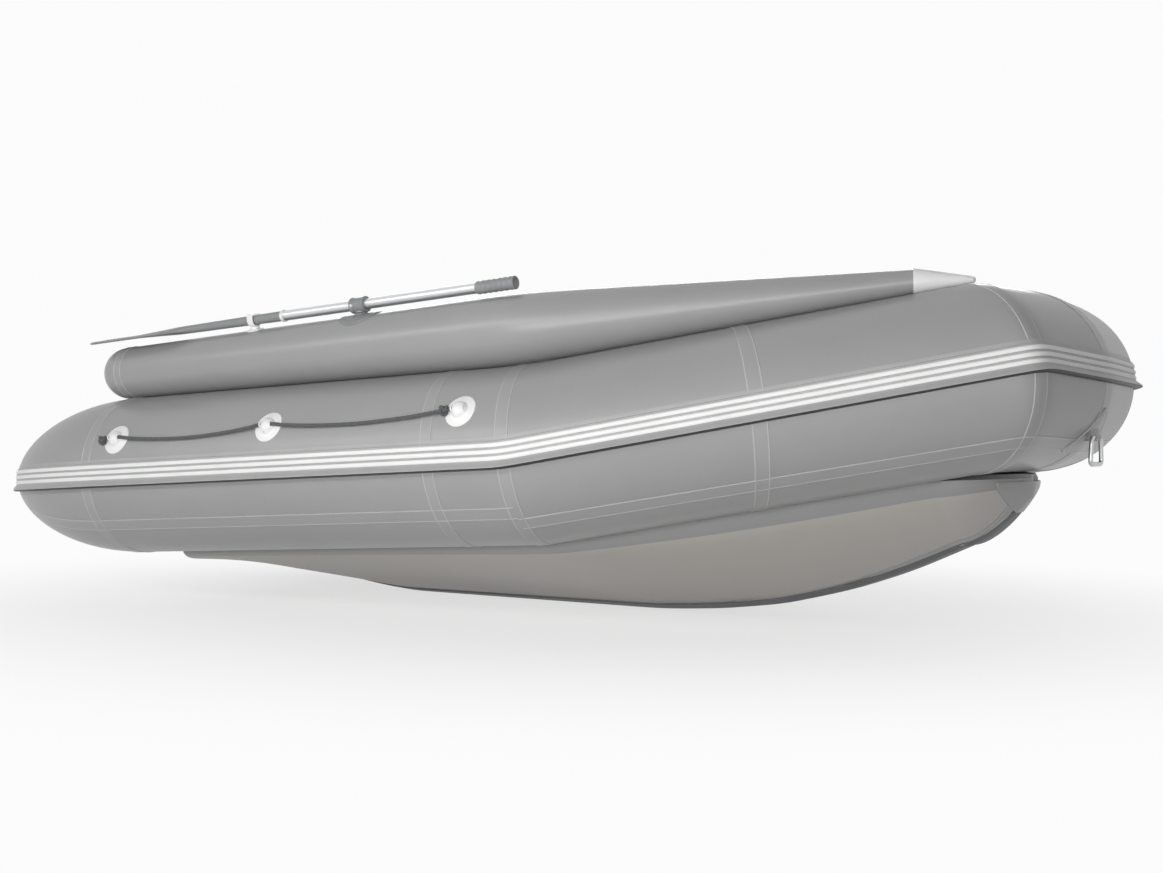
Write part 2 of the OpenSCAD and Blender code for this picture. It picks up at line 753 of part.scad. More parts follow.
// Knots aft of an eye. Columns: distance from it, drop in angle, height over the tube, share of the radius
end_knot = [[57, 2, 14, 0.7], [51, 2, 14, 1.6], [36, 1, 14, 1.6]];
stop_knot = [[58, 1, 13, 1], [51, 1, 14, 1.6], [36, 0.5, 14, 1.6]];
function eye_points(i, ends) =
    [for (dx = ends) [eye_xs[i] + dx, eye_angle(i), eye_lift, 1]];
function span_points(i) = [for (s = span_steps)
    [mix(eye_xs[i] + eye_run, eye_xs[i + 1] - eye_run, s[0]),
     mix(eye_angle(i), eye_angle(i + 1), s[0]) - sag_angle * s[1], mix(eye_lift, rest_lift, s[1]), 1]];
function knot_points(i, knot) =
    [for (k = knot) [eye_xs[i] - k[0], eye_angle(i) - k[1], k[2], k[3]]];
// Route of a handline. Columns: x, angle above the tube's outer side, height over the tube, share of radius
line_route = concat(
    knot_points(0, end_knot), eye_points(0, [-eye_run, 0, eye_run]),
    span_points(0), eye_points(1, [-eye_run, 0, eye_run]),
    span_points(1), knot_points(2, stop_knot), eye_points(2, [-eye_run, 0, line_end]));

module handline(port) {
    path = [for (p = line_route)
        [p[0], -tube_y - (tube_r + p[2]) * cos(p[1]), (tube_r + p[2]) * sin(p[1])]];
    color(dark_grey)
        on_side(port)
            loft(swept(path, [for (p = line_route) p[3] * line_r], line_sides));
}

// Oarlocks and oars

lock_base_t = 3;
boss_r = 18;
boss_h = 8;
// Height of the pin's socket floor above the bulwark
socket_z = 2;
// Length of a grip's closed end, and its wall round the shaft
grip_end = 12;
grip_wall = 3;
// Ends of the collar along the oar from the shaft's aft end, and its wall
collar_from = 1;
collar_to = 10;
collar_wall = 2.5;
shaft_h = boss_h + turn_gap + shaft_r + lock_wall;
lock_bulwark_r = bulwark_r(oarlock_x);
lock_axis = bulwark_axis(oarlock_x, lock_bulwark_r);
blade_root = -shaft_aft - neck_len;
blade_end = blade_root - blade_len;
// Clearance between an oar's shaft and what is slipped over it
slip_gap = 0.2;

// Frame of an oarlock: its origin lies on the bulwark, its Z axis is the pin
module lock_frame() {
    translate(lock_axis + [0, -lock_bulwark_r * sin(pin_tilt), lock_bulwark_r * cos(pin_tilt)])
        rotate([0, -crown_slope, 0])
            rotate([pin_tilt, 0, 0])
                children();
}

// Frame of an oar: its origin is on the pin, its X axis runs along the shaft to the grip
module oar_frame() {
    lock_frame()
        translate([0, 0, shaft_h])
            children();
}

// Bar or tube along the oar between two stations
module along_oar(x0, x1, r0, r1) {
    translate([x0, 0, 0])
        rotate([0, 90, 0])
            cylinder(h = x1 - x0, r1 = r0, r2 = r1, $fn = 48);
}

// Cone on the axis of a bulwark's straight run, larger than the bulwark by t
module bulwark_cone(t) {
    run = bulwark_bend - bulwark_root;
    translate(bulwark_root)
        rotate([0, 90 - atan2(run[2], run[0]), 0])
            cylinder(h = norm(run), r1 = bulwark_rear_r + t, r2 = bulwark_mid_r + t, $fn = 180);
}

module lock_base(port) {
    color(pale_grey)
        on_side(port)
            difference() {
                union() {
                    intersection() {
                        lock_frame()
                            cylinder(d = lock_base_d, h = lock_base_d, center = true, $fn = 64);
                        bulwark_cone(seat_gap + lock_base_t);
                    }
                    lock_frame()
                        translate([0, 0, -boss_h])
                            cylinder(r = boss_r, h = boss_h * 2, $fn = 48);
                }
                bulwark_cone(seat_gap);
                lock_frame()
                    translate([0, 0, socket_z])
                        cylinder(r = pin_r + turn_gap, h = boss_h, $fn = 48);
            }
}

module oarlock(port) {
    bolt_r = 5;
    color(dark_grey)
        on_side(port) {
            oar_frame()
                difference() {
                    along_oar(-lock_len / 2, lock_len / 2, shaft_r + lock_wall, shaft_r + lock_wall);
                    along_oar(-lock_len, lock_len, shaft_r + slip_gap, shaft_r + slip_gap);
                }
            lock_frame()
                translate([0, 0, socket_z + turn_gap])
                    cylinder(r = pin_r, h = boss_h + lock_wall / 2 - socket_z, $fn = 48);
            oar_frame()
                translate([bolt_r * 2 - lock_len / 2, -shaft_r - 1, 0])
                    rotate([90, 0, 0])
                        cylinder(r = bolt_r, h = lock_wall + 2, $fn = 32);
        }
}

module oar_shaft(port) {
    color(metal)
        on_side(port)
            oar_frame()
                along_oar(-shaft_aft, grip_reach - grip_end, shaft_r, shaft_r);
}

module oar_grip(port) {
    color(dark_grey)
        on_side(port)
            oar_frame()
                difference() {
                    along_oar(grip_reach - grip_len, grip_reach, shaft_r + grip_wall, shaft_r + grip_wall);
                    along_oar(grip_reach - grip_len - 1, grip_reach - grip_end + slip_gap,
                        shaft_r + slip_gap, shaft_r + slip_gap);
                }
}

module oar_collar(port) {
    color(white)
        on_side(port)
            oar_frame()
                difference() {
                    along_oar(-shaft_aft + collar_from, -shaft_aft + collar_to,
                        shaft_r + collar_wall, shaft_r + collar_wall);
                    along_oar(-shaft_aft, -shaft_aft + collar_to + 1,
                        shaft_r + slip_gap, shaft_r + slip_gap);
                }
}

module oar_blade(port) {
    corner_r = 45;
    // Length of the blade's shoulders, its ridge's share of the blade, and the neck's taper
    shoulder_len = 95;
    shoulder = blade_root - shoulder_len;
    ridge = 0.7;
    neck_taper = 3;
    root_overlap = 30;
    half = blade_w / 2;
    color(dark_grey)
        on_side(port)
            oar_frame() {
                along_oar(blade_root, -shaft_aft - slip_gap, shaft_r - neck_taper, shaft_r);
                along_oar(blade_root - blade_len * ridge, blade_root,
                    blade_t / 2 + 1, shaft_r - neck_taper);
                translate([0, 0, -blade_t / 2])
                    linear_extrude(blade_t) {
                        polygon([[blade_root + root_overlap, -shaft_r + 4], [shoulder, -half],
                            [blade_end + corner_r, -half], [blade_end + corner_r, half],
                            [shoulder, half], [blade_root + root_overlap, shaft_r - 4]]);
                        translate([blade_end, corner_r - half])
                            square([corner_r, blade_w - corner_r * 2]);
                        for (side = [-1, 1])
                            translate([blade_end + corner_r, side * (half - corner_r)])
                                circle(corner_r, $fn = 48);
                    }
            }
}

module oar_clip(port) {
    hook_gap = 1.5;
    hook_t = 4;
    hook_w = 22;
    mouth = shaft_r * 1.5;
    foot_h = 20;
    hook_r = shaft_r + hook_gap + hook_t;
    color(white)
        on_side(port)
            difference() {
                lock_frame()
                    translate([clip_x - oarlock_x, 0, 0]) {
                        translate([0, 0, shaft_h])
                            difference() {
                                along_oar(-hook_w / 2, hook_w / 2, hook_r, hook_r);
                                along_oar(-hook_w, hook_w, shaft_r + hook_gap, shaft_r + hook_gap);
                                translate([-hook_w, -mouth / 2, 0])
                                    cube([hook_w * 2, mouth, shaft_r * 2]);
                            }
                        translate([0, 0, shaft_h - hook_r + hook_t / 2 - foot_h])
                            cylinder(r = hook_w / 2, h = foot_h, $fn = 48);
                    }
                bulwark_cone(seat_gap);
            }
}

// Tow ring on the nose

tow_patch_t = 3;
sleeve_wall = 4.5;
sleeve_r = ring_r + turn_gap + sleeve_wall;
// Distance of the ring's pivot from the nose tube's centre line
pivot_reach = tube_r + seat_gap + tow_patch_t + sleeve_r - 1.5;
tow_pivot = nose_top + pivot_reach * [cos(tow_angle), 0, -sin(tow_angle)];

// Both halves of the nose tube out to w from the boat's centre line, larger than the tube by t
module nose_tube(t, w) {
    for (side = [0, 1])
        mirror([0, side, 0])
            intersection() {
                translate(nose_top)
                    rotate([90, 0, nose_turn])
                        cylinder(r = tube_r + t, h = w * 3, center = true, $fn = 240);
                translate([nose_x - tube_r, 0, bow_rise - tube_r * 2])
                    cube([tube_r * 3, w, tube_r * 4]);
            }
}

module tow_patch() {
    color(fabric_grey)
        parked()
            difference() {
                union() {
                    intersection() {
                        nose_tube(seat_gap + tow_patch_t, tow_patch_half);
                        translate(nose_top)
                            rotate([0, 90 + tow_angle, 0])
                                linear_extrude(tube_r * 2)
                                    polygon([[-tow_patch_up, 0], [tow_patch_down, -tow_patch_half],
                                        [tow_patch_down, tow_patch_half]]);
                    }
                    translate(tow_pivot)
                        rotate([90, 0, 0])
                            cylinder(r = sleeve_r, h = sleeve_w, center = true, $fn = 48);
                }
                nose_tube(seat_gap, tow_patch_half * 2);
                translate(tow_pivot)
                    rotate([90, 0, 0])
                        cylinder(r = ring_r + turn_gap, h = sleeve_w * 2, center = true, $fn = 48);
            }
}

// Round bar between two points
module bar(a, b, r) {
    d = b - a;
    translate(a)
        rotate([0, acos(d[2] / norm(d)), atan2(d[1], d[0])])
            cylinder(r = r, h = norm(d), $fn = 32);
}

module tow_ring() {
    corners = [[0, -ring_top_w / 2, 0], [0, ring_top_w / 2, 0],
        [0, ring_low_w / 2, -ring_len], [0, -ring_low_w / 2, -ring_len]];
    color(metal)
        parked()
            translate(tow_pivot)
                rotate([0, park_trim, 0])
                    for (i = [0:3]) {
                        bar(corners[i], corners[(i + 1) % 4], ring_r);
                        translate(corners[i])
                            sphere(ring_r + 0.4, $fn = 32);
                    }
}

// Air valves on the inner shoulders of the chambers

module air_valve() {
    cylinder(d = valve_d, h = tube_r + 3, $fn = 48);
    cylinder(d = valve_d * 0.74, h = tube_r + valve_h, $fn = 48);
}

module air_valves() {
    valve_x = 330;
    valve_angle = 64;
    color(dark_grey)
        parked() {
            for (side = [0, 1])
                mirror([0, side, 0])
                    difference() {
                        translate([valve_x, -tube_y, 0])
                            rotate([valve_angle - 90, 0, 0])
                                air_valve();
                        side_cylinder(seat_gap, valve_x - valve_d, valve_x + valve_d);
                    }
            difference() {
                translate(nose_top)
                    rotate([0, valve_angle - 90, 0])
                        air_valve();
                nose_tube(seat_gap * 2, valve_d);
            }
        }
}

tube_starboard();
tube_bow();
tube_port();
bulwark(false);  // bulwark_starboard
bulwark(true);  // bulwark_port
bulwark_tip(false);  // bulwark_tip_starboard
bulwark_tip(true);  // bulwark_tip_port
rub_strake();
strake_stripes();
air_floor();
keel_strip();
transom_board();
transom_plates();
transom_holders();
bench_rails();
bench_board(bench_stern_x);  // bench_stern
bench_clips(bench_stern_x);  // bench_stern_clips
bench_board(bench_bow_x);  // bench_bow
bench_clips(bench_bow_x);  // bench_bow_clips
line_patches(false);  // line_patches_starboard
line_patches(true);  // line_patches_port
handline(false);  // handline_starboard
handline(true);  // handline_port
lock_base(false);  // lock_base_starboard
lock_base(true);  // lock_base_port
oarlock(false);  // oarlock_starboard
oarlock(true);  // oarlock_port
oar_shaft(false);  // oar_shaft_starboard
oar_shaft(true);  // oar_shaft_port
oar_blade(false);  // oar_blade_starboard
oar_blade(true);  // oar_blade_port
oar_collar(false);  // oar_collar_starboard
oar_collar(true);  // oar_collar_port
oar_grip(false);  // oar_grip_starboard
oar_grip(true);  // oar_grip_port
oar_clip(false);  // oar_clip_starboard
oar_clip(true);  // oar_clip_port
tow_patch();
tow_ring();
air_valves();
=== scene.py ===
"""Looks of an inflatable boat: smooth tubes, striped strake, air floor, ropes, oars and fittings."""
import json
import math
from math import atan2, cos, radians, sin, sqrt

import bmesh
import bpy
import numpy as np
from mathutils import Matrix, Vector

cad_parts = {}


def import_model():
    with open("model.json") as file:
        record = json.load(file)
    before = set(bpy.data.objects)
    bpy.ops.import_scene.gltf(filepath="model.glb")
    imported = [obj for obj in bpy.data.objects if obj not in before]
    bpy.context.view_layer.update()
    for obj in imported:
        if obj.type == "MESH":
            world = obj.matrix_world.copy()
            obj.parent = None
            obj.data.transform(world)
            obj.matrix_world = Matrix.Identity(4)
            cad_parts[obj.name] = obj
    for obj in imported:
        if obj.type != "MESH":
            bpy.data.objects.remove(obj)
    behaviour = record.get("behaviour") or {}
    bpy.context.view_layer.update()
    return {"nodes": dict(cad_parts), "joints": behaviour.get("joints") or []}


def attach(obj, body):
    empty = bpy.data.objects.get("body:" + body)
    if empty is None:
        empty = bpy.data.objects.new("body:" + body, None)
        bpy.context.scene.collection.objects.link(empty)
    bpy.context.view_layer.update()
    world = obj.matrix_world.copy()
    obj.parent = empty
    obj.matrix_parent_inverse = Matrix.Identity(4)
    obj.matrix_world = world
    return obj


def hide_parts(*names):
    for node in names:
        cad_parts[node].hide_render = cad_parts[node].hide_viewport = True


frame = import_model()
nodes = frame["nodes"]
joints = {joint["name"]: joint for joint in frame["joints"]}
SIDES = (("starboard", 1.0), ("port", -1.0))
UP = np.array([0.0, 0.0, 1.0])

# Sizes in metres, in the boat's own frame: X to the bow, Y to port, Z up from the tubes' centre line
TUBE_R = 0.24
TUBE_Y = 0.695
CONE_LEN = 0.54
SIDE_LEN = 1.47
TAPER_LEN = 1.06
NOSE_HALF = 0.278
BOW_RISE = 0.145
NOSE_BULGE = 0.026
SEAT_GAP = 0.0004
NOSE_X = SIDE_LEN + TAPER_LEN
TAPER_RUN = TUBE_Y - NOSE_HALF
TAPER_ANGLE = atan2(TAPER_RUN, TAPER_LEN)
RISE_ANGLE = atan2(BOW_RISE, math.hypot(TAPER_LEN, TAPER_RUN))
NOSE_TOP = np.array([NOSE_X + NOSE_BULGE, 0.0, BOW_RISE])


def turned(axis, c, s):
    """The matrix of a turn about axis 0, 1 or 2, from the turn's cosine and sine."""
    matrix = np.eye(3)
    a, b = (axis + 1) % 3, (axis + 2) % 3
    matrix[[a, b, a, b], [a, b, b, a]] = c, c, -s, s
    return matrix


def turned_by(axis, angle):
    """The same from an angle."""
    return turned(axis, cos(angle), sin(angle))


# The parked stance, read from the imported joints: the benches slide along the boat's own X axis
TOW_ANGLE = radians(39)
PIVOT_REACH = TUBE_R + SEAT_GAP + 0.003 + 0.0108 - 0.0015
tow_pivot = NOSE_TOP + PIVOT_REACH * np.array([cos(TOW_ANGLE), 0, -sin(TOW_ANGLE)])
ring_pivot = np.array(joints["tow_ring_hinge"]["pos_m"])
boat_x = np.array(joints["bench_stern_slide"]["axis"])
TURN = turned(1, boat_x[0], -boat_x[2])
SHIFT = ring_pivot - TURN @ tow_pivot


# Small helpers for points and meshes

def unit(v):
    return v / np.linalg.norm(v)


def unit_rows(v):
    return v / np.linalg.norm(v, axis=-1, keepdims=True)


def mix(a, b, t):
    return a + (b - a) * t


def mm(*rows):
    """A table's rows, written in millimetres, in metres."""
    return [tuple(value / 1000 for value in row) for row in rows]


def world(points):
    """Points of the boat's own frame as they lie with the boat parked."""
    return np.asarray(points, float) @ TURN.T + SHIFT


def mirrored(points, sign):
    """Starboard points as they are, or on the port side."""
    return np.asarray(points, float) * np.array([1.0, sign, 1.0])


def turns(sides):
    """Even angles round a circle."""
    return np.arange(sides) * 2 * np.pi / sides


def run_of(line):
    """Length along a line up to each of its points."""
    return np.concatenate([[0], np.cumsum(np.linalg.norm(np.diff(line, axis=0), axis=1))])


def even_steps(line, count, closed=False):
    """Points at even steps along a line, or round a closed one."""
    line = np.concatenate([line, line[:1]]) if closed else line
    along = run_of(line)
    places = np.linspace(0, along[-1], count, endpoint=not closed)
    return np.stack([np.interp(places, along, column) for column in line.T], 1)


def smoothed(values, passes):
    """Values along the first axis with their corners rounded and their ends kept."""
    values = np.array(values, float)
    for _ in range(passes):
        values[1:-1] = (values[:-2] + 2 * values[1:-1] + values[2:]) / 4
    return values


def grid_faces(grid, closed=True, caps=(False, False)):
    """Quads over a grid whose rows are rings, or strips if not closed; caps close its two ends."""
    rows, cols = grid.shape[:2]
    i, j = np.meshgrid(np.arange(rows - 1), np.arange(cols if closed else cols - 1), indexing="ij")
    a = i * cols + j
    b = i * cols + (j + 1) % cols
    faces = np.stack([a, b, b + cols, a + cols], -1).reshape(-1, 4).tolist()
    if caps[0]:
        faces.append(list(range(cols))[::-1])
    if caps[1]:
        faces.append(list(range((rows - 1) * cols, rows * cols)))
    return faces


def joined(grids):
    """Points and faces of several capped ring grids as one mesh."""
    points, faces, count = [], [], 0
    for grid in grids:
        faces += [[v + count for v in face] for face in grid_faces(grid, caps=(True, True))]
        points.append(grid.reshape(-1, 3))
        count += len(points[-1])
    return np.concatenate(points), faces


def piece(name, points, faces, material, slot, body="hull", replaces=(), sharp=35, uv=None):
    """A mesh piece at world points; material may be a list with one index for each face after it."""
    materials, index = material if isinstance(material, tuple) else ([material], None)
    mesh = bpy.data.meshes.new(name)
    mesh.from_pydata(np.asarray(points, float).reshape(-1, 3).tolist(), [], faces)
    for item in materials:
        mesh.materials.append(item)
    if index is not None:
        mesh.polygons.foreach_set("material_index", np.asarray(index, np.int32))
    if uv is not None:
        corner = np.zeros(len(mesh.loops), np.int32)
        mesh.loops.foreach_get("vertex_index", corner)
        layer = mesh.uv_layers.new(name="cloth")
        layer.data.foreach_set("uv", np.asarray(uv, np.float32).reshape(-1, 2)[corner].ravel())
    work = bmesh.new()
    work.from_mesh(mesh)
    bmesh.ops.recalc_face_normals(work, faces=work.faces)
    work.to_mesh(mesh)
    work.free()
    mesh.polygons.foreach_set("use_smooth", np.ones(len(mesh.polygons), bool))
    mesh.set_sharp_from_angle(angle=radians(sharp))
    obj = bpy.data.objects.new(name, mesh)
    bpy.context.scene.collection.objects.link(obj)
    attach(obj, body)
    if replaces:
        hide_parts(*replaces)
    return obj


def cloth_uv(grid):
    """Texture places in metres: along the rows and round the rings."""
    along = run_of(grid[:, 0])
    widest = grid[len(grid) // 2]
    step = np.linalg.norm(widest[1] - widest[0])
    return np.stack(np.meshgrid(along, np.arange(grid.shape[1]) * step, indexing="ij"), -1)


def grid_piece(name, grid, finish, slot, closed=True, caps=None, **options):
    """A piece from a grid in the boat's own frame: rings, capped unless caps say otherwise, or strips."""
    faces = grid_faces(grid, closed, caps or (closed, closed))
    piece(name, world(grid), faces, finish, slot, uv=cloth_uv(grid), **options)


def joined_piece(name, grids, finish, slot, **options):
    """A piece from several capped ring grids in the boat's own frame."""
    points, faces = joined(grids)
    piece(name, world(points), faces, finish, slot, **options)


# Sweeps along a bent centre line

def circle(radius, sides):
    turn = turns(sides)
    return radius * np.stack([np.cos(turn), np.sin(turn)], 1)


def mitred(path, outlines):
    """Rings of [outboard, up] outlines that meet in the mitre planes of a bent path."""
    rings = []
    for i, outline in enumerate(outlines):
        into = unit(path[max(i, 1)] - path[max(i, 1) - 1])
        at_end = i in (0, len(path) - 1)
        plane = into if at_end else unit(into + unit(path[i + 1] - path[i]))
        side = unit(np.cross(into, UP))
        spokes = outline[:, :1] * side + outline[:, 1:] * np.cross(side, into)
        rings.append(path[i] + spokes - np.outer(spokes @ plane / (into @ plane), into))
    return np.array(rings)


def steps_of(path, spacing):
    """How many rows each run of a path gets."""
    runs = np.linalg.norm(np.diff(path, axis=0), axis=1)
    return np.maximum(1, np.round(runs / spacing)).astype(int)


def spread(rings, steps, passes):
    """Rows between the rings, with the bends rounded by that many smoothing passes."""
    rows = [rings[:1]]
    for a, b, count in zip(rings[:-1], rings[1:], steps):
        rows.append(mix(a, b, (np.arange(count) + 1)[:, None, None] / count))
    return smoothed(np.concatenate(rows), passes)


# Materials

def add_node(tree, kind, operation=None, **values):
    """A shader node with values on its own sockets."""
    node = tree.nodes.new("ShaderNode" + kind)
    if operation:
        node.operation = operation
    for socket, value in values.items():
        node.inputs[socket.replace("_", " ")].default_value = value
    return node


def wire(tree, *wires):
    """Links, each from a node's output to another node's input."""
    for source, output, target, socket in wires:
        tree.links.new(source.outputs[output], target.inputs[socket])


def material(name, colour, rough, grain=9.0, vary=0.05, bump=0.0006, weave=0.0, stretch=(1, 1, 1),
             **sockets):
    """A procedural finish: mottled colour, uneven gloss, fine bump and, for cloth, a woven surface."""
    made = bpy.data.materials.new(name)
    made.use_nodes = True
    tree = made.node_tree
    shader = tree.nodes["Principled BSDF"]
    place = add_node(tree, "TexCoord")
    scaled = add_node(tree, "Mapping", Scale=stretch)
    blotch = add_node(tree, "TexNoise", Scale=grain, Detail=8.0, Roughness=0.65)
    ramp = add_node(tree, "ValToRGB")
    for stop, position, share in zip(ramp.color_ramp.elements, (0.3, 0.7), (1 - vary, 1 + vary)):
        stop.position = position
        stop.color = (*[min(1.0, c * share) for c in colour], 1.0)
    speck = add_node(tree, "TexNoise", Scale=grain * 24, Detail=4.0)
    gloss = add_node(tree, "MapRange", To_Min=max(0.05, rough - 0.03), To_Max=min(1.0, rough + 0.03))
    relief = add_node(tree, "Bump", Strength=0.35, Distance=bump)
    wire(tree, (place, "Object", scaled, "Vector"), (scaled, "Vector", blotch, "Vector"),
         (blotch, "Fac", ramp, "Fac"), (ramp, "Color", shader, "Base Color"),
         (scaled, "Vector", speck, "Vector"), (speck, "Fac", gloss, "Value"),
         (gloss, "Result", shader, "Roughness"), (speck, "Fac", relief, "Height"),
         (relief, "Normal", shader, "Normal"))
    if weave:
        both = add_node(tree, "Math", "MAXIMUM")
        for index, direction in enumerate("XY"):
            thread = add_node(tree, "TexWave", Scale=1 / (weave * 3.18), Distortion=0.4)
            thread.bands_direction = direction
            wire(tree, (place, "UV", thread, "Vector"), (thread, "Fac", both, index))
        cloth = add_node(tree, "Bump", Strength=0.02, Distance=0.0002)
        wire(tree, (both, "Value", cloth, "Height"), (cloth, "Normal", relief, "Normal"))
    for socket, value in sockets.items():
        shader.inputs[socket.replace("_", " ")].default_value = value
    return made


GREY = (0.338, 0.338, 0.338)
TAPE = (0.353, 0.353, 0.353)
pvc = material("pvc_grey", GREY, 0.33, grain=4.0, vary=0.025, bump=0.00012, weave=0.0012)
tape = material("pvc_seam_tape", TAPE, 0.34, grain=6.0, vary=0.025, bump=0.00012, weave=0.0012)
# Lighter grey for the beads along tape and patch edges: a painted highlight
weld_highlight = material("pvc_weld_painted_highlight", (0.47, 0.47, 0.47), 0.32, grain=8.0, vary=0.04)
deck_cloth = material("pvc_deck", (0.29, 0.295, 0.3), 0.5, grain=5.0, vary=0.04, weave=0.0016)
pale_cloth = material("pvc_pale", (0.5, 0.478, 0.45), 0.45, grain=4.0, vary=0.025, bump=0.0002,
                      weave=0.0012)
strake_rubber = material("strake_rubber", (0.4, 0.4, 0.4), 0.42, grain=14.0)
white_rubber = material("stripe_white", (0.88, 0.88, 0.875), 0.4, grain=14.0, vary=0.02)
# Near-black rubber: the transom's holders, and painted shade on the strake lip's tip and underside
black_rubber_and_lip_shade = material("rubber_black_and_lip_shade", (0.025, 0.025, 0.027), 0.5, grain=16.0, vary=0.15)
keel_rubber = material("keel_rubber", (0.12, 0.122, 0.125), 0.55, grain=18.0, vary=0.1, bump=0.001)
white_plastic = material("white_moulding", (0.88, 0.88, 0.875), 0.42, grain=22.0, vary=0.02)
oar_grey = material("oar_moulding", (0.26, 0.265, 0.27), 0.42, grain=24.0, vary=0.05, bump=0.0008)
black_plastic = material("black_moulding", (0.03, 0.03, 0.032), 0.48, grain=28.0, vary=0.15, bump=0.001)
rope_fibre = material("rope_fibre", (0.085, 0.088, 0.092), 0.75, grain=160.0, vary=0.35, bump=0.0015,
                      Sheen_Weight=0.2)
aluminium = material("drawn_aluminium", (0.62, 0.63, 0.64), 0.34, grain=9.0, vary=0.03, stretch=(1, 30, 30),
                     Metallic=1.0)
steel = material("polished_steel", (0.5, 0.505, 0.51), 0.36, grain=30.0, vary=0.05, Metallic=1.0)
ply_paint = material("painted_ply", (0.36, 0.365, 0.37), 0.5, grain=5.0, vary=0.06, bump=0.0012,
                     stretch=(1, 0.12, 1))


# Main tube: stern cone, straight run, bow bend, mitred corner, nose, and the same back to port

TUBE_SIDES = 112
TUBE_ROW = 0.012
TUBE_PASSES = 10
CONE_STEPS = np.concatenate([[0.0008, 0.003, 0.008, 0.016, 0.028, 0.045, 0.066],
                             np.linspace(0.09, 0.97, 23)])
corner = np.array([NOSE_X, -NOSE_HALF, BOW_RISE])
bend = np.array([SIDE_LEN, -TUBE_Y, 0.0])
half_path = [np.array([-CONE_LEN * (1 - t), -TUBE_Y, 0.0]) for t in CONE_STEPS]
half_path += [np.array([0.0, -TUBE_Y, 0.0]), bend, corner]
half_radii = [TUBE_R * (1 - (1 - t) ** 2) ** 0.6 for t in CONE_STEPS] + [TUBE_R] * 3
tube_path = np.array(half_path + [NOSE_TOP] + [mirrored(p, -1.0) for p in half_path[::-1]])
tube_radii = np.array(half_radii + [TUBE_R] + half_radii[::-1])
tube_steps = steps_of(tube_path, TUBE_ROW)
station_row = np.concatenate([[0], np.cumsum(tube_steps)])
ROOT, BEND, CORNER, NOSE = range(len(CONE_STEPS), len(CONE_STEPS) + 4)
LAST = len(tube_path) - 1


def on_tube(outlines):
    """Sweeps an outline for each station along the whole tube."""
    return spread(mitred(tube_path, outlines), tube_steps, TUBE_PASSES)


def row_near(x, station):
    """The row of the tube at x, on the run that starts at a station."""
    a, b = tube_path[station], tube_path[station + 1]
    share = (x - a[0]) / (b[0] - a[0])
    return int(round(mix(station_row[station], station_row[station + 1], share)))


PUCKERS, PUCKER_DEPTH, PUCKER_RUN, PUCKER_SPREAD = 13, 0.005, 0.05, 0.75


def puckered(grid):
    """Small puckers on the inner side of each bend, where the cloth has too much length."""
    turn = turns(TUBE_SIDES)
    inner = np.exp(-((turn - np.pi) / PUCKER_SPREAD) ** 2) * (0.5 + 0.5 * np.cos(PUCKERS * turn))
    for station in (BEND, CORNER, LAST - CORNER, LAST - BEND):
        away = (np.arange(len(grid)) - station_row[station]) * TUBE_ROW
        depth = PUCKER_DEPTH * np.exp(-(away / PUCKER_RUN) ** 2)
        spoke = grid - grid.mean(1, keepdims=True)
        grid = grid - unit_rows(spoke) * (depth[:, None] * inner)[..., None]
    return grid


tube_grid = puckered(on_tube([circle(r, TUBE_SIDES) for r in tube_radii]))
chambers = ((0, BEND, "tube_starboard"), (BEND, LAST - BEND, "tube_bow"), (LAST - BEND, LAST, "tube_port"))
for first, last, node in chambers:
    rows = tube_grid[station_row[first]:station_row[last] + 1]
    grid_piece("skin_" + node, rows, pvc, "tube_fabric", replaces=[node])

# Seam tapes, lengthwise below the equator and in rings where the panels meet; each edge has a welded bead
# painted lighter as a highlight
TAPE_T = 0.0011
TAPE_W = 0.036
BEAD = 0.0034
# Across a tape of width w, from one edge to the other: share of w, number of bead widths, height
TAPE_HALF = ((0, -0.001), (0.2, 0.0012), (0.5, 0.0018), (0.9, 0.0013), (1, TAPE_T), (1.4, TAPE_T))
TAPE_PROFILE = [(-0.5, beads, lift) for beads, lift in TAPE_HALF]
TAPE_PROFILE += [(0.5, -beads, lift) for beads, lift in TAPE_HALF[::-1]]
# Faces of the tape's outline that get the lighter grey: a painted highlight on the beads
BEAD_HIGHLIGHT_FACES = (1, 1, 1, 1, 0, 0, 0, 1, 1, 1, 1)


def tape_along(name, low, high, first, last):
    """A tape along the tube between two stations, from angle low to angle high in degrees."""
    def outline(r):
        width = radians(high - low)
        turn = np.array([(low + high) / 2 + math.degrees(share * width + beads * BEAD / max(r, 0.05))
                         for share, beads, _ in TAPE_PROFILE])
        reach = r + np.array([lift for _, _, lift in TAPE_PROFILE])
        return reach[:, None] * np.stack([np.cos(np.radians(turn)), np.sin(np.radians(turn))], 1)
    grid = on_tube([outline(r) for r in tube_radii])[station_row[first]:station_row[last] + 1]
    finish = ([tape, weld_highlight], np.tile(BEAD_HIGHLIGHT_FACES, len(grid) - 1))
    grid_piece(name, grid, finish, "tube_fabric", closed=False)


def tape_ring(name, row, width, grid=None, flip=1.0):
    """A tape round a tube, centred on a row of its grid."""
    grid = tube_grid if grid is None else grid
    rings = []
    for share, beads, lift in TAPE_PROFILE:
        place = row + (share * width + beads * BEAD) / TUBE_ROW
        first = int(math.floor(place))
        ring = mix(grid[first], grid[first + 1], place - first)
        rings.append(ring + unit_rows(ring - ring.mean(0)) * lift)
    rings = mirrored(np.array(rings), flip)
    finish = ([tape, weld_highlight], np.repeat(BEAD_HIGHLIGHT_FACES, rings.shape[1]))
    grid_piece(name, rings, finish, "tube_fabric", caps=(False, False))


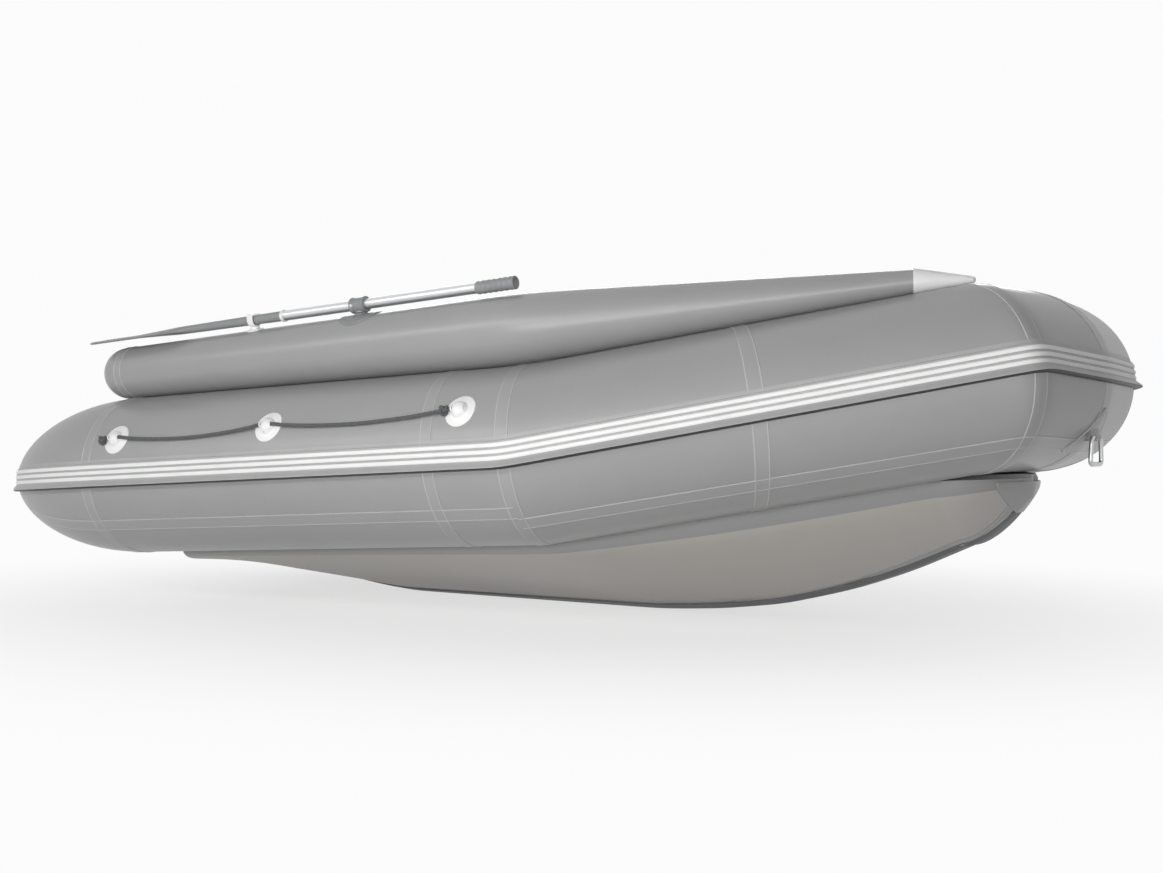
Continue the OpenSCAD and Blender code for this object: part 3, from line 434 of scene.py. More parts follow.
CONE_TAPE = 12
tape_along("seam_low_starboard", -43.5, -34, CONE_TAPE, BEND)
tape_along("seam_low_port", -43.5, -34, LAST - BEND, LAST - CONE_TAPE)
tape_along("seam_low_bow", -53, -43.5, BEND, LAST - BEND)
seam_rows = {"bend": station_row[BEND], "aft": row_near(1.24, ROOT), "fore": row_near(1.99, BEND),
             "stern": station_row[ROOT], "corner": station_row[CORNER]}
for side, sign in SIDES:
    for seam, row in seam_rows.items():
        tape_ring(f"seam_{seam}_{side}", row if sign > 0 else len(tube_grid) - 1 - row, TAPE_W)
tape_ring("seam_nose", station_row[NOSE], TAPE_W)

# Rubbing strake: band, lip whose tip and underside are painted near-black as shade, three white stripes.
# Columns: lift off the tube, height
STRAKE_TOP = mm((1.2, 47), (1.3, 37.5), (4.4, 36), (4.8, 32), (4.8, 18), (4.8, 1), (5.2, -12),
                (7.5, -16.5), (13.5, -21.5), (19, -25.5))
STRAKE_LIP = mm((22.8, -29), (23.8, -31.5), (22.5, -34.2), (18, -35.8), (8, -35.2), (2.5, -36.5))
STRAKE_BACK = mm((-1, -36.5), (-1, 0), (-1, 47))
STRIPE_HEIGHTS = (-0.008, 0.009, 0.026)
STRIPE_HALF = 0.0056
STRIPE_T = 0.0034
STRAKE_FROM = 5
STRAKE_RISE = 0.016
STRAKE_FULL_R = 0.11


def on_strake(rows):
    """Sweeps points, given by lift off the tube and height, along it; they rise round the nose."""
    outlines = []
    for station, r in enumerate(tube_radii):
        lift, height = np.array(rows).T * min(1.0, r / STRAKE_FULL_R)
        height = height + (STRAKE_RISE if BEND < station < LAST - BEND else 0.0)
        outlines.append(np.stack([np.sqrt((r + lift) ** 2 - height ** 2), height], 1))
    return on_tube(outlines)[station_row[STRAKE_FROM]:station_row[LAST - STRAKE_FROM] + 1]


def stripe_rows(middle):
    """Outline of a stripe whose centre line lies at a height on the strake."""
    turn = np.radians(np.linspace(0, 180, 9))
    crown = [(0.0044 + STRIPE_T * sin(a) ** 0.7, middle + STRIPE_HALF * cos(a)) for a in turn]
    base = [(0.003, middle - STRIPE_HALF), (0.003, middle + STRIPE_HALF)]
    return crown + base


strake_grid = on_strake(STRAKE_TOP + STRAKE_LIP + STRAKE_BACK)
# The lip's tip and underside faces get the near-black finish: painted shade under the lip
shade_from, shade_to = len(STRAKE_TOP) + 1, len(STRAKE_TOP) + len(STRAKE_LIP)
lip_shade_faces = [int(shade_from <= c < shade_to) for c in range(strake_grid.shape[1])] * (len(strake_grid) - 1)
grid_piece("strake_band", strake_grid, ([strake_rubber, black_rubber_and_lip_shade], lip_shade_faces + [0, 0]), "strake_rubber",
           replaces=["rub_strake"])
stripes = [on_strake(stripe_rows(middle)) for middle in STRIPE_HEIGHTS]
joined_piece("strake_white_stripes", stripes, white_rubber, "stripe_white", replaces=["strake_stripes"])


# Bulwark tubes and their white tip cones

BULWARK_SIDES = 72
BULWARK_PASSES = 90
REAR_R, MID_R, FRONT_R, TIP_R = 0.08, 0.097, 0.03, 0.009
ROOT_X = REAR_R - 0.128
BULWARK_BEND_X = SIDE_LEN - (TUBE_R + MID_R) * math.tan(RISE_ANGLE / 2)
FRONT_X = SIDE_LEN + 0.94
TIP_X = FRONT_X + 0.124
SLEEVE_BACK = 0.014
SLEEVE_T = 0.0014


def tube_z(x):
    """Height of the main tube's centre line at x."""
    return 0.0 if x < SIDE_LEN else BOW_RISE * (x - SIDE_LEN) / TAPER_LEN


def tube_w(x):
    """Distance of the main tube's centre line from the boat's, at x."""
    return TUBE_Y if x < SIDE_LEN else TUBE_Y - TAPER_RUN * (x - SIDE_LEN) / TAPER_LEN


def bulwark_axis(x, r):
    """Centre of a bulwark of radius r on the main tube's crown."""
    lean = 1.0 if x < SIDE_LEN else cos(RISE_ANGLE)
    return np.array([x, -tube_w(x), tube_z(x) + (TUBE_R + SEAT_GAP + r) / lean])


def bulwark_r(x):
    """Radius of a bulwark on its straight run."""
    return mix(REAR_R, MID_R, (x - ROOT_X) / (BULWARK_BEND_X - ROOT_X))


bulwark_root = bulwark_axis(ROOT_X, REAR_R)
bulwark_bend = bulwark_axis(BULWARK_BEND_X, MID_R)
bulwark_front = bulwark_axis(FRONT_X, FRONT_R)
bulwark_tip = bulwark_axis(TIP_X, TIP_R)
dome = np.radians(np.arange(2, 90, 5.5))
bulwark_path = np.array([bulwark_root - [REAR_R * cos(a), 0, 0] for a in dome]
                        + [bulwark_root, bulwark_bend, bulwark_front])
bulwark_radii = [REAR_R * sin(a) for a in dome] + [REAR_R, MID_R, FRONT_R]
bulwark_steps = steps_of(bulwark_path, TUBE_ROW)
bulwark_rings = [circle(r, BULWARK_SIDES) for r in bulwark_radii]
bulwark_grid = spread(mitred(bulwark_path, bulwark_rings), bulwark_steps, 1)
seam_row = int(np.sum(bulwark_steps[:len(dome)]))
bulwark_grid[seam_row:] = smoothed(bulwark_grid[seam_row:], BULWARK_PASSES)
tip_run = unit(bulwark_tip - bulwark_front)
tip_end = np.radians([0, 30, 55, 75, 88])
tip_path = np.array([bulwark_front - tip_run * SLEEVE_BACK, bulwark_front, bulwark_tip]
                    + [bulwark_tip + tip_run * TIP_R * sin(a) for a in tip_end[1:]])
tip_radii = [FRONT_R + SLEEVE_T * 2, FRONT_R + SLEEVE_T, TIP_R] + [TIP_R * cos(a) for a in tip_end[1:]]
tip_rings = [circle(r, BULWARK_SIDES) for r in tip_radii]
tip_grid = spread(mitred(tip_path, tip_rings), steps_of(tip_path, 0.01), 0)
for side, sign in SIDES:
    grid_piece("skin_bulwark_" + side, mirrored(bulwark_grid, sign), pvc, "tube_fabric",
               replaces=["bulwark_" + side])
    grid_piece("sleeve_bulwark_tip_" + side, mirrored(tip_grid, sign), white_plastic, "tip_white",
               replaces=["bulwark_tip_" + side])
    tape_ring("seam_bulwark_" + side, seam_row + 2, 0.03, bulwark_grid, sign)


# Air floor: ribbed deck, grey side walls and a pale V bottom

DECK_Z = -0.105
RIB_H = 0.012
RIBS = 5
RIB_POINTS, ARC_POINTS, WALL_POINTS = 8, 12, 9
FLOOR_GAP = 0.001
SEAM_ANGLE = radians(78)
FLOOR_AFT = 0.101
KEEL_AFT_X, KEEL_FWD_X = 0.52, SIDE_LEN
CHINE_DROP, KEEL_AFT_DROP, KEEL_FWD_DROP = 0.27, 0.404, 0.459
CHINE_IN = 0.09
CHINE_PASSES = 8
KEEL_FLAT = 0.045
DIP_AHEAD, DIP_GAP = 0.02, 0.002
ARC_FWD = NOSE_X - TUBE_R + 0.11
FLOOR_NOSE = NOSE_X + 0.044
NOSE_MID_Z = -0.128
WALL_SWELL = np.array([0.018, -0.008])
PANEL_SWELL = 0.0075
FLOOR_ROW = 0.016
# Shares of the way from chine to keel at which the bottom panel has a column
PANEL_STEPS = np.array([0, 0.03, 0.08, 0.17, 0.27, 0.38, 0.5, 0.62, 0.73, 0.81, 0.87, 0.91, 0.945, 0.97, 1])
# Bottom aft of the keel's straight run: share of the way, share of the keel's depth
AFT_LINES = ((0.212, 0.18), (0.547, 0.72))
# Bottom ahead of it: share of the way, rise of the chine, rise of the keel
FORE_LINES = ((0.215, 0.002, 0.002), (0.43, 0.02, 0.017), (0.624, 0.042, 0.053), (0.785, 0.064, 0.096),
              (0.85, 0.074, 0.117), (0.914, 0.084, 0.141), (1, 0.096, 0.172))
sections = [(FLOOR_AFT, -CHINE_DROP, -CHINE_DROP + 0.006)]
sections += [(mix(FLOOR_AFT, KEEL_AFT_X, s), -CHINE_DROP, -mix(CHINE_DROP, KEEL_AFT_DROP, d))
             for s, d in AFT_LINES]
sections += [(KEEL_AFT_X, -CHINE_DROP, -KEEL_AFT_DROP), (KEEL_FWD_X, -CHINE_DROP - 0.01, -KEEL_FWD_DROP)]
sections += [(mix(KEEL_FWD_X, ARC_FWD, s), c - CHINE_DROP, k - KEEL_FWD_DROP) for s, c, k in FORE_LINES]
sections = np.array(sections)


def nose_under(x):
    """Underside of the nose tube at x."""
    ahead = min(x - NOSE_X, 0.0)
    return BOW_RISE if ahead < -TUBE_R else BOW_RISE - sqrt(TUBE_R ** 2 - ahead ** 2)


main_x = np.linspace(FLOOR_AFT, ARC_FWD, int((ARC_FWD - FLOOR_AFT) / FLOOR_ROW))
nose_t = np.linspace(0, 1, 15)[1:]
nose_close = (FLOOR_NOSE + 0.004, FLOOR_NOSE + 0.0055)


def along_floor(values):
    """Values on the main rows, kept as they are over the rows of the nose."""
    return np.concatenate([values, np.full(len(nose_t) + len(nose_close), values[-1])])


EASE, BEND_EASE = 14, 6
chine_z = along_floor(smoothed(np.interp(main_x, sections[:, 0], sections[:, 1]), EASE))
keel_z = along_floor(smoothed(np.interp(main_x, sections[:, 0], sections[:, 2]), EASE))
side_w = along_floor(smoothed([tube_w(x) for x in main_x], BEND_EASE))
side_z = along_floor(smoothed([tube_z(x) for x in main_x], BEND_EASE))
bow_share = along_floor(smoothed([float(x > SIDE_LEN) for x in main_x], BEND_EASE))
reach_y = TUBE_R * mix(1, 1 / cos(TAPER_ANGLE), bow_share) + FLOOR_GAP
reach_z = TUBE_R * mix(1, 1 / cos(RISE_ANGLE), bow_share) + FLOOR_GAP
ones = np.ones(len(main_x))
row_x = np.concatenate([main_x, mix(ARC_FWD, FLOOR_NOSE, nose_t), nose_close])
deck_z = [min(DECK_Z + tube_z(min(x, ARC_FWD)), nose_under(x + DIP_AHEAD) - DIP_GAP) for x in row_x]
deck_z = smoothed(deck_z, EASE)
rib_h = RIB_H * np.clip((NOSE_X - TUBE_R - 0.02 - row_x) / 0.12, 0, 1)
kept_w = np.concatenate([ones, (1 - (nose_t / 1.03) ** 2.4) ** 0.6, [0.1, 0.02]])
lost_z = np.concatenate([ones * 0, 0.8 * nose_t ** 1.6, [0.9, 0.97]])


def floor_half(i):
    """Half outline of floor row i, from the deck's middle round to the keel's: half width, height."""
    first = math.asin(min(0.97, (side_z[i] - deck_z[i]) / reach_z[i]))
    rib_w = (side_w[i] - reach_y[i] * cos(first)) / RIBS
    step = np.arange(RIBS * RIB_POINTS)
    rib = np.sin(np.pi * (step % RIB_POINTS) / RIB_POINTS) ** 0.75
    deck = np.stack([step / RIB_POINTS * rib_w, deck_z[i] + rib_h[i] * rib], 1)
    turn = np.linspace(first, SEAM_ANGLE, ARC_POINTS)
    arc = np.stack([side_w[i] - reach_y[i] * np.cos(turn), side_z[i] - reach_z[i] * np.sin(turn)], 1)
    chine = np.array([side_w[i] - CHINE_IN, chine_z[i]])
    control = mix(arc[-1], chine, 0.55) + WALL_SWELL
    t = np.linspace(0, 1, WALL_POINTS)[1:-1, None]
    wall = (1 - t) ** 2 * arc[-1] + 2 * t * (1 - t) * control + t ** 2 * chine
    s = PANEL_STEPS[:, None]
    panel = mix(chine, np.array([KEEL_FLAT, keel_z[i]]), s) - [0, PANEL_SWELL] * np.sin(np.pi * s ** 0.9)
    half = np.concatenate([deck, arc, wall, panel, [[0, keel_z[i]]]])
    chine_at = len(deck) + len(arc) + len(wall)
    near_chine = slice(chine_at - 6, chine_at + 6)
    half[near_chine] = smoothed(half[near_chine], CHINE_PASSES)
    lost = np.where(half[:, 1] > NOSE_MID_Z, 0.2, 1.0) * lost_z[i]
    return np.stack([half[:, 0] * kept_w[i], mix(half[:, 1], NOSE_MID_Z, lost)], 1)


halves = np.array([floor_half(i) for i in range(len(row_x))])
half_count = halves.shape[1]
rings = np.concatenate([halves, halves[:, -2:0:-1] * [-1, 1]], 1)
floor_grid = np.concatenate([np.broadcast_to(row_x[:, None, None], (*rings.shape[:2], 1)), rings], 2)
ring_count = floor_grid.shape[1]
wall_at = RIBS * RIB_POINTS + ARC_POINTS - 1
panel_at = wall_at + WALL_POINTS - 1
half_column = [min(j, ring_count - 1 - j) for j in range(ring_count)]
column_finish = [0 if c < wall_at else 1 if c < panel_at - 3 else 2 for c in half_column]
floor_finish = column_finish * (len(floor_grid) - 1) + [2, 2]
grid_piece("skin_air_floor", floor_grid, ([deck_cloth, pvc, pale_cloth], floor_finish), "bottom_fabric",
           replaces=["air_floor"])
# Outward directions over the floor's skin
floor_out = unit_rows(np.cross(np.gradient(floor_grid, axis=0),
                               np.roll(floor_grid, -1, 1) - np.roll(floor_grid, 1, 1)))
floor_out *= np.sign(np.sum(floor_out * (floor_grid - floor_grid.mean(1, keepdims=True)), -1).mean())


def floor_rows(x0, x1=math.inf):
    return np.flatnonzero((row_x >= x0) & (row_x <= x1))


# Keel strip, from a share of one bottom panel to the same share of the other, with its edges let in
NOSE_CAP, CAP_LAP = 0.04, 0.02
STRIP_FROM, STRIP_SHARE, STRIP_LIFT, STRIP_SINK = 0.33, 0.945, 0.0044, 0.0015
strip_col = panel_at + int(np.argmin(abs(PANEL_STEPS - STRIP_SHARE))) - 1
strip_index = np.ix_(floor_rows(STRIP_FROM, FLOOR_NOSE - NOSE_CAP + CAP_LAP),
                     np.arange(strip_col, ring_count - strip_col + 1))
strip = (floor_grid + floor_out * STRIP_LIFT)[strip_index]
base = (floor_grid - floor_out * STRIP_SINK)[strip_index]
strip = np.concatenate([base[:, :1], strip, base[:, -1:]], 1)
base = np.concatenate([base[:, :1], base, base[:, -1:]], 1)
grid_piece("keel_chafe_strip", np.concatenate([base[:1], strip, base[-1:]]), keel_rubber, "keel_rubber",
           closed=False, replaces=["keel_strip"])

# Keel tape in three steps that lie on each other; it follows the keel and runs up the stem to the nose tube
KEEL_TAPE = mm((88, -1.2), (87.2, 1), (86, 1.4), (73.5, 1.4), (72.5, 2.6), (71.5, 2.9), (60.5, 2.9),
               (59.5, 4.1), (58.5, 4.4), (47, 4.4), (44, 1.6), (20, 1.2))
KEEL_REACHES = (0.014, 0.026, 0.038, 0.05, 0.062, 0.074, 0.086, 0.1)
KEEL_TAPE_FROM = 0.25
tape_rows = floor_rows(KEEL_TAPE_FROM)
skirt = np.stack([np.concatenate([np.full((half_count - wall_at, 1), x), half[:wall_at - 1:-1]], 1)
                  for x, half in zip(row_x[tape_rows], halves[tape_rows])])
stem = np.linspace(skirt[-1, 0], skirt[-1, -1] * [1, 0, 1], 12)
centre_line = np.concatenate([skirt[:, 0], stem])
between = np.linspace(0, 1, 5)[:-1, None]
centre_line = np.concatenate([mix(a, b, between) for a, b in zip(centre_line[:-1], centre_line[1:])])
off_centre = np.array([[np.linalg.norm(centre_line - point, axis=1).min() for point in row]
                       for row in skirt])


def keel_curve(reach, count=220):
    """The line on the floor's side that stays at one distance from the keel and the stem."""
    line = []
    for row, far in zip(skirt, off_centre):
        if far.max() < reach:
            break
        j = int(np.argmax(far >= reach))
        share = (reach - far[j - 1]) / (far[j] - far[j - 1])
        line.append(row[0] if j == 0 else mix(row[j - 1], row[j], share))
    last = len(line)
    if last < len(skirt):
        share = (off_centre[last - 1, -1] - reach) / (off_centre[last - 1, -1] - off_centre[last, -1])
        line.append(mix(skirt[last - 1, -1], skirt[last, -1], share))
    return even_steps(np.array(line), count)


curves = np.array([keel_curve(reach) for reach in KEEL_REACHES])
outward = unit_rows(np.cross(np.gradient(curves, axis=0), np.gradient(curves, axis=1)))
outward = outward * np.where(outward[:, :1, 2:] > 0, -1.0, 1.0)
tape_grid = []
for reach, lift in KEEL_TAPE:
    k = int(np.clip(np.searchsorted(KEEL_REACHES, reach) - 1, 0, len(KEEL_REACHES) - 2))
    share = (reach - KEEL_REACHES[k]) / (KEEL_REACHES[k + 1] - KEEL_REACHES[k])
    lifted = lift * unit_rows(mix(outward[k], outward[k + 1], share))
    tape_grid.append(mix(curves[k], curves[k + 1], share) + lifted)
tape_grid = np.array(tape_grid)
for side, sign in SIDES:
    grid_piece("keel_tape_" + side, mirrored(tape_grid, -sign), tape, "bottom_fabric", closed=False)

# Cap of tape over the stem, which closes the ends of the keel's tapes and of its strip
CAP_SINK, CAP_EDGE, CAP_LIFT, CAP_AHEAD = 0.001, 0.0045, 0.0056, 0.0012
cap_index = np.ix_(floor_rows(FLOOR_NOSE - NOSE_CAP), np.arange(wall_at + 1, ring_count - wall_at))
cap_out, cap_grid = floor_out[cap_index], floor_grid[cap_index]
cap_grid = np.concatenate([cap_grid[:1] - cap_out[:1] * CAP_SINK, cap_grid[:1] + cap_out[:1] * CAP_EDGE,
                           cap_grid + cap_out * CAP_LIFT + [CAP_AHEAD, 0, 0]])
cap_faces = grid_faces(cap_grid, closed=False, caps=(False, True))
piece("stem_cap_tape", world(cap_grid), cap_faces, tape, "bottom_fabric", sharp=60)


# Handlines, their knots and their white patches

EYE_XS = (0.115, mix(0.115, SIDE_LEN - 0.097, 0.477), SIDE_LEN - 0.097)
EYE_ANGLES = (26.0, 28.0, 30.0)
LINE_R = 0.0055
EYE_LIFT = SEAT_GAP + 0.003 + 0.009
REST_LIFT = LINE_R + 0.001
EYE_RUN = 0.029
EYE_MOUTH, EYE_R, EYE_BEAD = 0.0188, 0.0072, 0.0019
LINE_END = 0.018
LINE_STEP = 0.0022
KNOT_BACK, KNOT_LIFT, KNOT_SIZE = 0.043, 0.0145, 0.024
SAG = 4.0
SPAN_STEPS = ((0.07, 0.3), (0.25, 0.75), (0.5, 1.0), (0.75, 0.75), (0.93, 0.3))
END_KNOT = ((0.057, 2, 0.014), (0.051, 2, 0.014), (0.036, 1, 0.014))
STOP_KNOT = ((0.058, 1, 0.013), (0.051, 1, 0.014), (0.036, 0.5, 0.014))
# Round patch with a dome over the eye: radius, height over the tube
PATCH_PROFILE = mm((46, -0.5), (46, 1.6), (45.2, 2.7), (43.6, 3.3), (27, 3.6), (24.3, 4.6), (22.9, 7.2),
                   (21.2, 11.5), (18.2, 15.8), (13.5, 19.4), (7.5, 22.2), (0.3, 23.1))


def over_tube(x, degrees, lift):
    """Points over the straight starboard tube: x, angle above its outer side, height over it."""
    turn = np.radians(degrees)
    x, turn, lift = np.broadcast_arrays(x, turn, lift)
    return np.stack([x, -TUBE_Y - (TUBE_R + lift) * np.cos(turn), (TUBE_R + lift) * np.sin(turn)], -1)


def pad(profile, place, sides=56):
    """A round pad's grid: each profile row is a radius and a height, and place lays them on a surface."""
    turn = turns(sides)
    return np.array([place(r * np.cos(turn), r * np.sin(turn), h) for r, h in profile])


def smooth_line(points, spacing):
    """A curve through points, as even steps."""
    points = np.asarray(points, float)
    padded = np.concatenate([2 * points[:1] - points[1:2], points, 2 * points[-1:] - points[-2:-1]])
    t = np.linspace(0, 1, 12, endpoint=False)[:, None]
    runs = []
    for a, b, c, d in zip(padded[:-3], padded[1:-2], padded[2:-1], padded[3:]):
        runs.append(0.5 * (2 * b + (c - a) * t + (2 * a - 5 * b + 4 * c - d) * t ** 2
                           + (3 * b - a - 3 * c + d) * t ** 3))
    dense = np.concatenate(runs + [points[-1:]])
    return even_steps(dense, max(2, int(run_of(dense)[-1] / spacing)))


def around(line, side, up, reach, turn):
    """Rings at a reach from the points of a line, in the planes of two directions at each point."""
    spokes = np.cos(turn)[:, None] * side[:, None] + np.sin(turn)[:, None] * up[:, None]
    return line[:, None] + np.asarray(reach)[..., None] * spokes


def rope_grid(line, radius, sides=20, plait=0.07, lay=0.018):
    """A braided rope's rings along an even line."""
    heading = unit_rows(np.gradient(line, axis=0))
    side = unit_rows(np.cross(heading, UP + 0.01))
    turn = turns(sides)
    along = run_of(line)[:, None] / lay * 2 * np.pi
    strands = np.maximum(np.sin(4 * turn + along), np.sin(4 * turn - along))
    return around(line, side, np.cross(side, heading), radius * (1 - plait + plait * strands), turn)


def knot_line(centre, size):
    """A trefoil, as an overhand knot is drawn up."""
    t = np.linspace(0, 2 * np.pi, 90, endpoint=False)
    loop = np.stack([np.sin(t) + 2 * np.sin(2 * t), -np.sin(3 * t) * 1.2, np.cos(t) - 2 * np.cos(2 * t)], 1)
    return centre + loop * size / 6


def ring_torus(centre, axis, radius, thick, sides=28, section=10):
    """A small ring round an axis."""
    axis = unit(np.asarray(axis, float))
    a = unit(np.cross(axis, [0.3, 0.5, 0.8]))
    b = np.cross(axis, a)
    turn, round_it = turns(sides), turns(section)
    spoke = np.cos(turn)[:, None] * a + np.sin(turn)[:, None] * b
    grid = (centre + spoke[:, None] * (radius + thick * np.cos(round_it))[None, :, None]
            + axis * (thick * np.sin(round_it))[None, :, None])
    return np.concatenate([grid, grid[:1]])


route = [(EYE_XS[0] - d, EYE_ANGLES[0] - a, h) for d, a, h in END_KNOT]
route += [(EYE_XS[0] + d, EYE_ANGLES[0], EYE_LIFT) for d in (-EYE_RUN, 0, EYE_RUN)]
for i in (0, 1):
    for share, dip in SPAN_STEPS:
        angle = mix(EYE_ANGLES[i], EYE_ANGLES[i + 1], share) - SAG * dip
        x = mix(EYE_XS[i] + EYE_RUN, EYE_XS[i + 1] - EYE_RUN, share)
        route.append((x, angle, mix(EYE_LIFT, REST_LIFT, dip)))
    if i == 0:
        route += [(EYE_XS[1] + d, EYE_ANGLES[1], EYE_LIFT) for d in (-EYE_RUN, 0, EYE_RUN)]
route += [(EYE_XS[2] - d, EYE_ANGLES[2] - a, h) for d, a, h in STOP_KNOT]
route += [(EYE_XS[2] + d, EYE_ANGLES[2], EYE_LIFT) for d in (-EYE_RUN, 0, LINE_END)]
line_points = np.array([over_tube(*p) for p in route])
knot_centres = [over_tube(EYE_XS[0] - KNOT_BACK, EYE_ANGLES[0] - 1.5, KNOT_LIFT),
                over_tube(EYE_XS[2] - KNOT_BACK, EYE_ANGLES[2] - 0.8, KNOT_LIFT)]
for side, sign in SIDES:
    patches = []
    for x, angle in zip(EYE_XS, EYE_ANGLES):
        def on_patch(along, across, lift):
            return over_tube(x + along, angle + np.degrees(across / TUBE_R), lift)
        patches.append(pad(PATCH_PROFILE, on_patch))
        for end in (-1, 1):
            centre = over_tube(x + end * EYE_MOUTH, angle, EYE_LIFT)
            patches.append(ring_torus(centre, [1, 0, 0], EYE_R, EYE_BEAD))
    joined_piece("eye_patches_" + side, [mirrored(g, sign) for g in patches], white_plastic, "patch_white",
                 replaces=["line_patches_" + side])
    line = world(mirrored(smooth_line(line_points, LINE_STEP), sign))
    loops = [world(mirrored(knot_line(c, KNOT_SIZE), sign)) for c in knot_centres]
    points, faces = joined([rope_grid(np.concatenate([k, k[:1]]), LINE_R * 0.86) for k in loops])
    knot = piece("handline_knots_" + side, points, faces, rope_fibre, "rope", sharp=80)
    grid = rope_grid(line, LINE_R)
    rope = piece("handline_rope_" + side, grid, grid_faces(grid, caps=(True, True)), rope_fibre, "rope",
                 replaces=["handline_" + side], sharp=80)


# Oars on their locks: aluminium shaft, moulded blade and neck, collar, grip, lock, base patch and clip

LOCK_X = 0.901
PIN_TILT = radians(10)
SHAFT_R = 0.015
LOCK_WALL = 0.006
BOSS_H = 0.008
SHAFT_H = BOSS_H + 0.0003 + SHAFT_R + LOCK_WALL
SHAFT_AFT = 0.29
GRIP_REACH = 0.535
GRIP_LEN = 0.125
NECK_LEN, NECK_LAP, NECK_R = 0.39, 0.03, 0.012
BLADE_ROOT = -SHAFT_AFT - NECK_LEN
BLADE_END = BLADE_ROOT - 0.37
BLADE_HALF = 0.075
SHOULDER = 0.095
BLADE_CORNER = 0.045
BLADE_EDGE = 0.004
BLADE_SIDES = 64
RIDGE_LEN, RIDGE_W = 0.3, 0.016
RIM_H, RIM_IN, RIM_W = 0.0012, 0.008, 0.004
CLIP_X = 0.498 - LOCK_X
CLIP_TURN = (132, 408)
CLIP_R, CLIP_T, CLIP_W, CLIP_LIP = 0.0185, 0.0021, 0.011, 0.004
CROWN_SLOPE = atan2(2 * (MID_R - REAR_R), BULWARK_BEND_X - ROOT_X)
lock_r = bulwark_r(LOCK_X)
lock_origin = bulwark_axis(LOCK_X, lock_r) + lock_r * np.array([0, -sin(PIN_TILT), cos(PIN_TILT)])
lock_axes = turned_by(1, -CROWN_SLOPE) @ turned_by(0, PIN_TILT)


def from_oar(points):
    """Points of the oar's frame, X along the shaft and Z along the pin, in the boat's own frame."""
    return (np.asarray(points, float) + [0, 0, SHAFT_H]) @ lock_axes.T + lock_origin


def lathe(profile, sides=48, lobes=0, depth=0.0):
    """Rings round the X axis: each profile row is x and a radius."""
    turn = turns(sides)
    rows = []
    for x, r in profile:
        reach = r * (1 + depth * np.cos(lobes * turn))
        rows.append(np.stack([np.full(sides, x), reach * np.cos(turn), reach * np.sin(turn)], 1))
    return np.array(rows)


def lathe_up(profile, sides=48, lobes=0, depth=0.0):
    """Rings round the Z axis: each profile row is a height and a radius."""
    return lathe(profile, sides, lobes, depth)[:, :, [1, 2, 0]]


def blade_grid():
    """Neck, shoulders and cupped blade with a middle ridge, as one moulding."""
    turn = turns(BLADE_SIDES)
    neck = np.linspace(-SHAFT_AFT - 0.0002, BLADE_ROOT + NECK_LAP, 10)
    flat = np.linspace(BLADE_ROOT + NECK_LAP, BLADE_END + BLADE_CORNER, 34)[1:]
    tip = BLADE_END + BLADE_CORNER * (1 - np.sin(np.radians(np.array([12, 25, 38, 50, 62, 73, 82, 88]))))
    rows = []
    for x in np.concatenate([neck, flat, tip]):
        round_r = mix(SHAFT_R, NECK_R, min(1.0, (-SHAFT_AFT - x) / NECK_LEN))
        spread_t = np.clip((BLADE_ROOT + NECK_LAP - x) / (SHOULDER + NECK_LAP), 0, 1)
        ease = spread_t * spread_t * (3 - 2 * spread_t)
        half = mix(round_r, BLADE_HALF, ease)
        past = max(0.0, BLADE_END + BLADE_CORNER - x)
        half -= BLADE_CORNER - sqrt(max(0.0, BLADE_CORNER ** 2 - past ** 2))
        ridge = round_r * (1 - np.clip((BLADE_ROOT - x) / RIDGE_LEN, 0, 1)) ** 0.8
        y = half * np.cos(turn)
        edge = BLADE_EDGE * np.abs(np.sin(turn)) ** 0.45
        crest = np.maximum(0.0, ridge - BLADE_EDGE) * np.exp(-(y / RIDGE_W) ** 2)
        rim = RIM_H * ease * np.exp(-((np.abs(y) - half + RIM_IN) / RIM_W) ** 2)
        flat_z = np.sign(np.sin(turn)) * (edge + (crest + rim) * np.abs(np.sin(turn)) ** 0.5)
        round_z = round_r * np.sin(turn)
        rows.append(np.stack([np.full(BLADE_SIDES, x), y, mix(round_z, flat_z, ease)], 1))
    return np.array(rows)


def grip_profile():
    """A hand grip with shallow finger ridges and a rounded end."""
    start, end = GRIP_REACH - GRIP_LEN, GRIP_REACH
    xs = np.linspace(start + 0.006, end - 0.006, 56)
    body = [(x, 0.0177 + 0.0007 * sin((x - start) / GRIP_LEN * 2 * math.pi * 7)) for x in xs]
    return [(start, 0.0153), (start + 0.0005, 0.0168), (start + 0.003, 0.0178)] + body + [
        (end - 0.003, 0.0184), (end - 0.001, 0.0178), (end, 0.0165), (end, 0.0135), (end - 0.0008, 0.0128),
        (end - 0.0008, 0.0004)]


COLLAR = mm((0.8, 15.3), (0.8, 16.9), (2.2, 17.6), (8.8, 17.6), (10.2, 16.9), (10.2, 15.3))
# Half of the lock's barrel, its saddle over the boss, the head of its bolt: place along the axis, radius
LOCK_HALF = mm((16.5, 20.7), (18.5, 21.2), (20.5, 22.8), (24.5, 22.6), (25.5, 21.3), (25.5, 15.3))
LOCK_BARREL = [(-x, r) for x, r in LOCK_HALF[::-1]] + LOCK_HALF
LOCK_SADDLE = mm((0.4, 14.5), (1.2, 16.2), (4, 16.2), (8, 14.8), (13, 14.5))
BOLT_HEAD = mm((-1, 5.8), (1, 5.8), (1.2, 4.8), (4.2, 4.7), (4.8, 3.8), (4.8, 0.3))
BASE_PROFILE = mm((65, -0.5), (65, 1.6), (64.1, 2.8), (62.2, 3.5), (49, 3.6), (47.5, 2.9), (46, 3.6),
                  (24, 3.8), (20.5, 4.6), (18.6, 6.5), (17.6, 7.9), (16.5, 8.2), (7.8, 8.2), (0.3, 8.1))
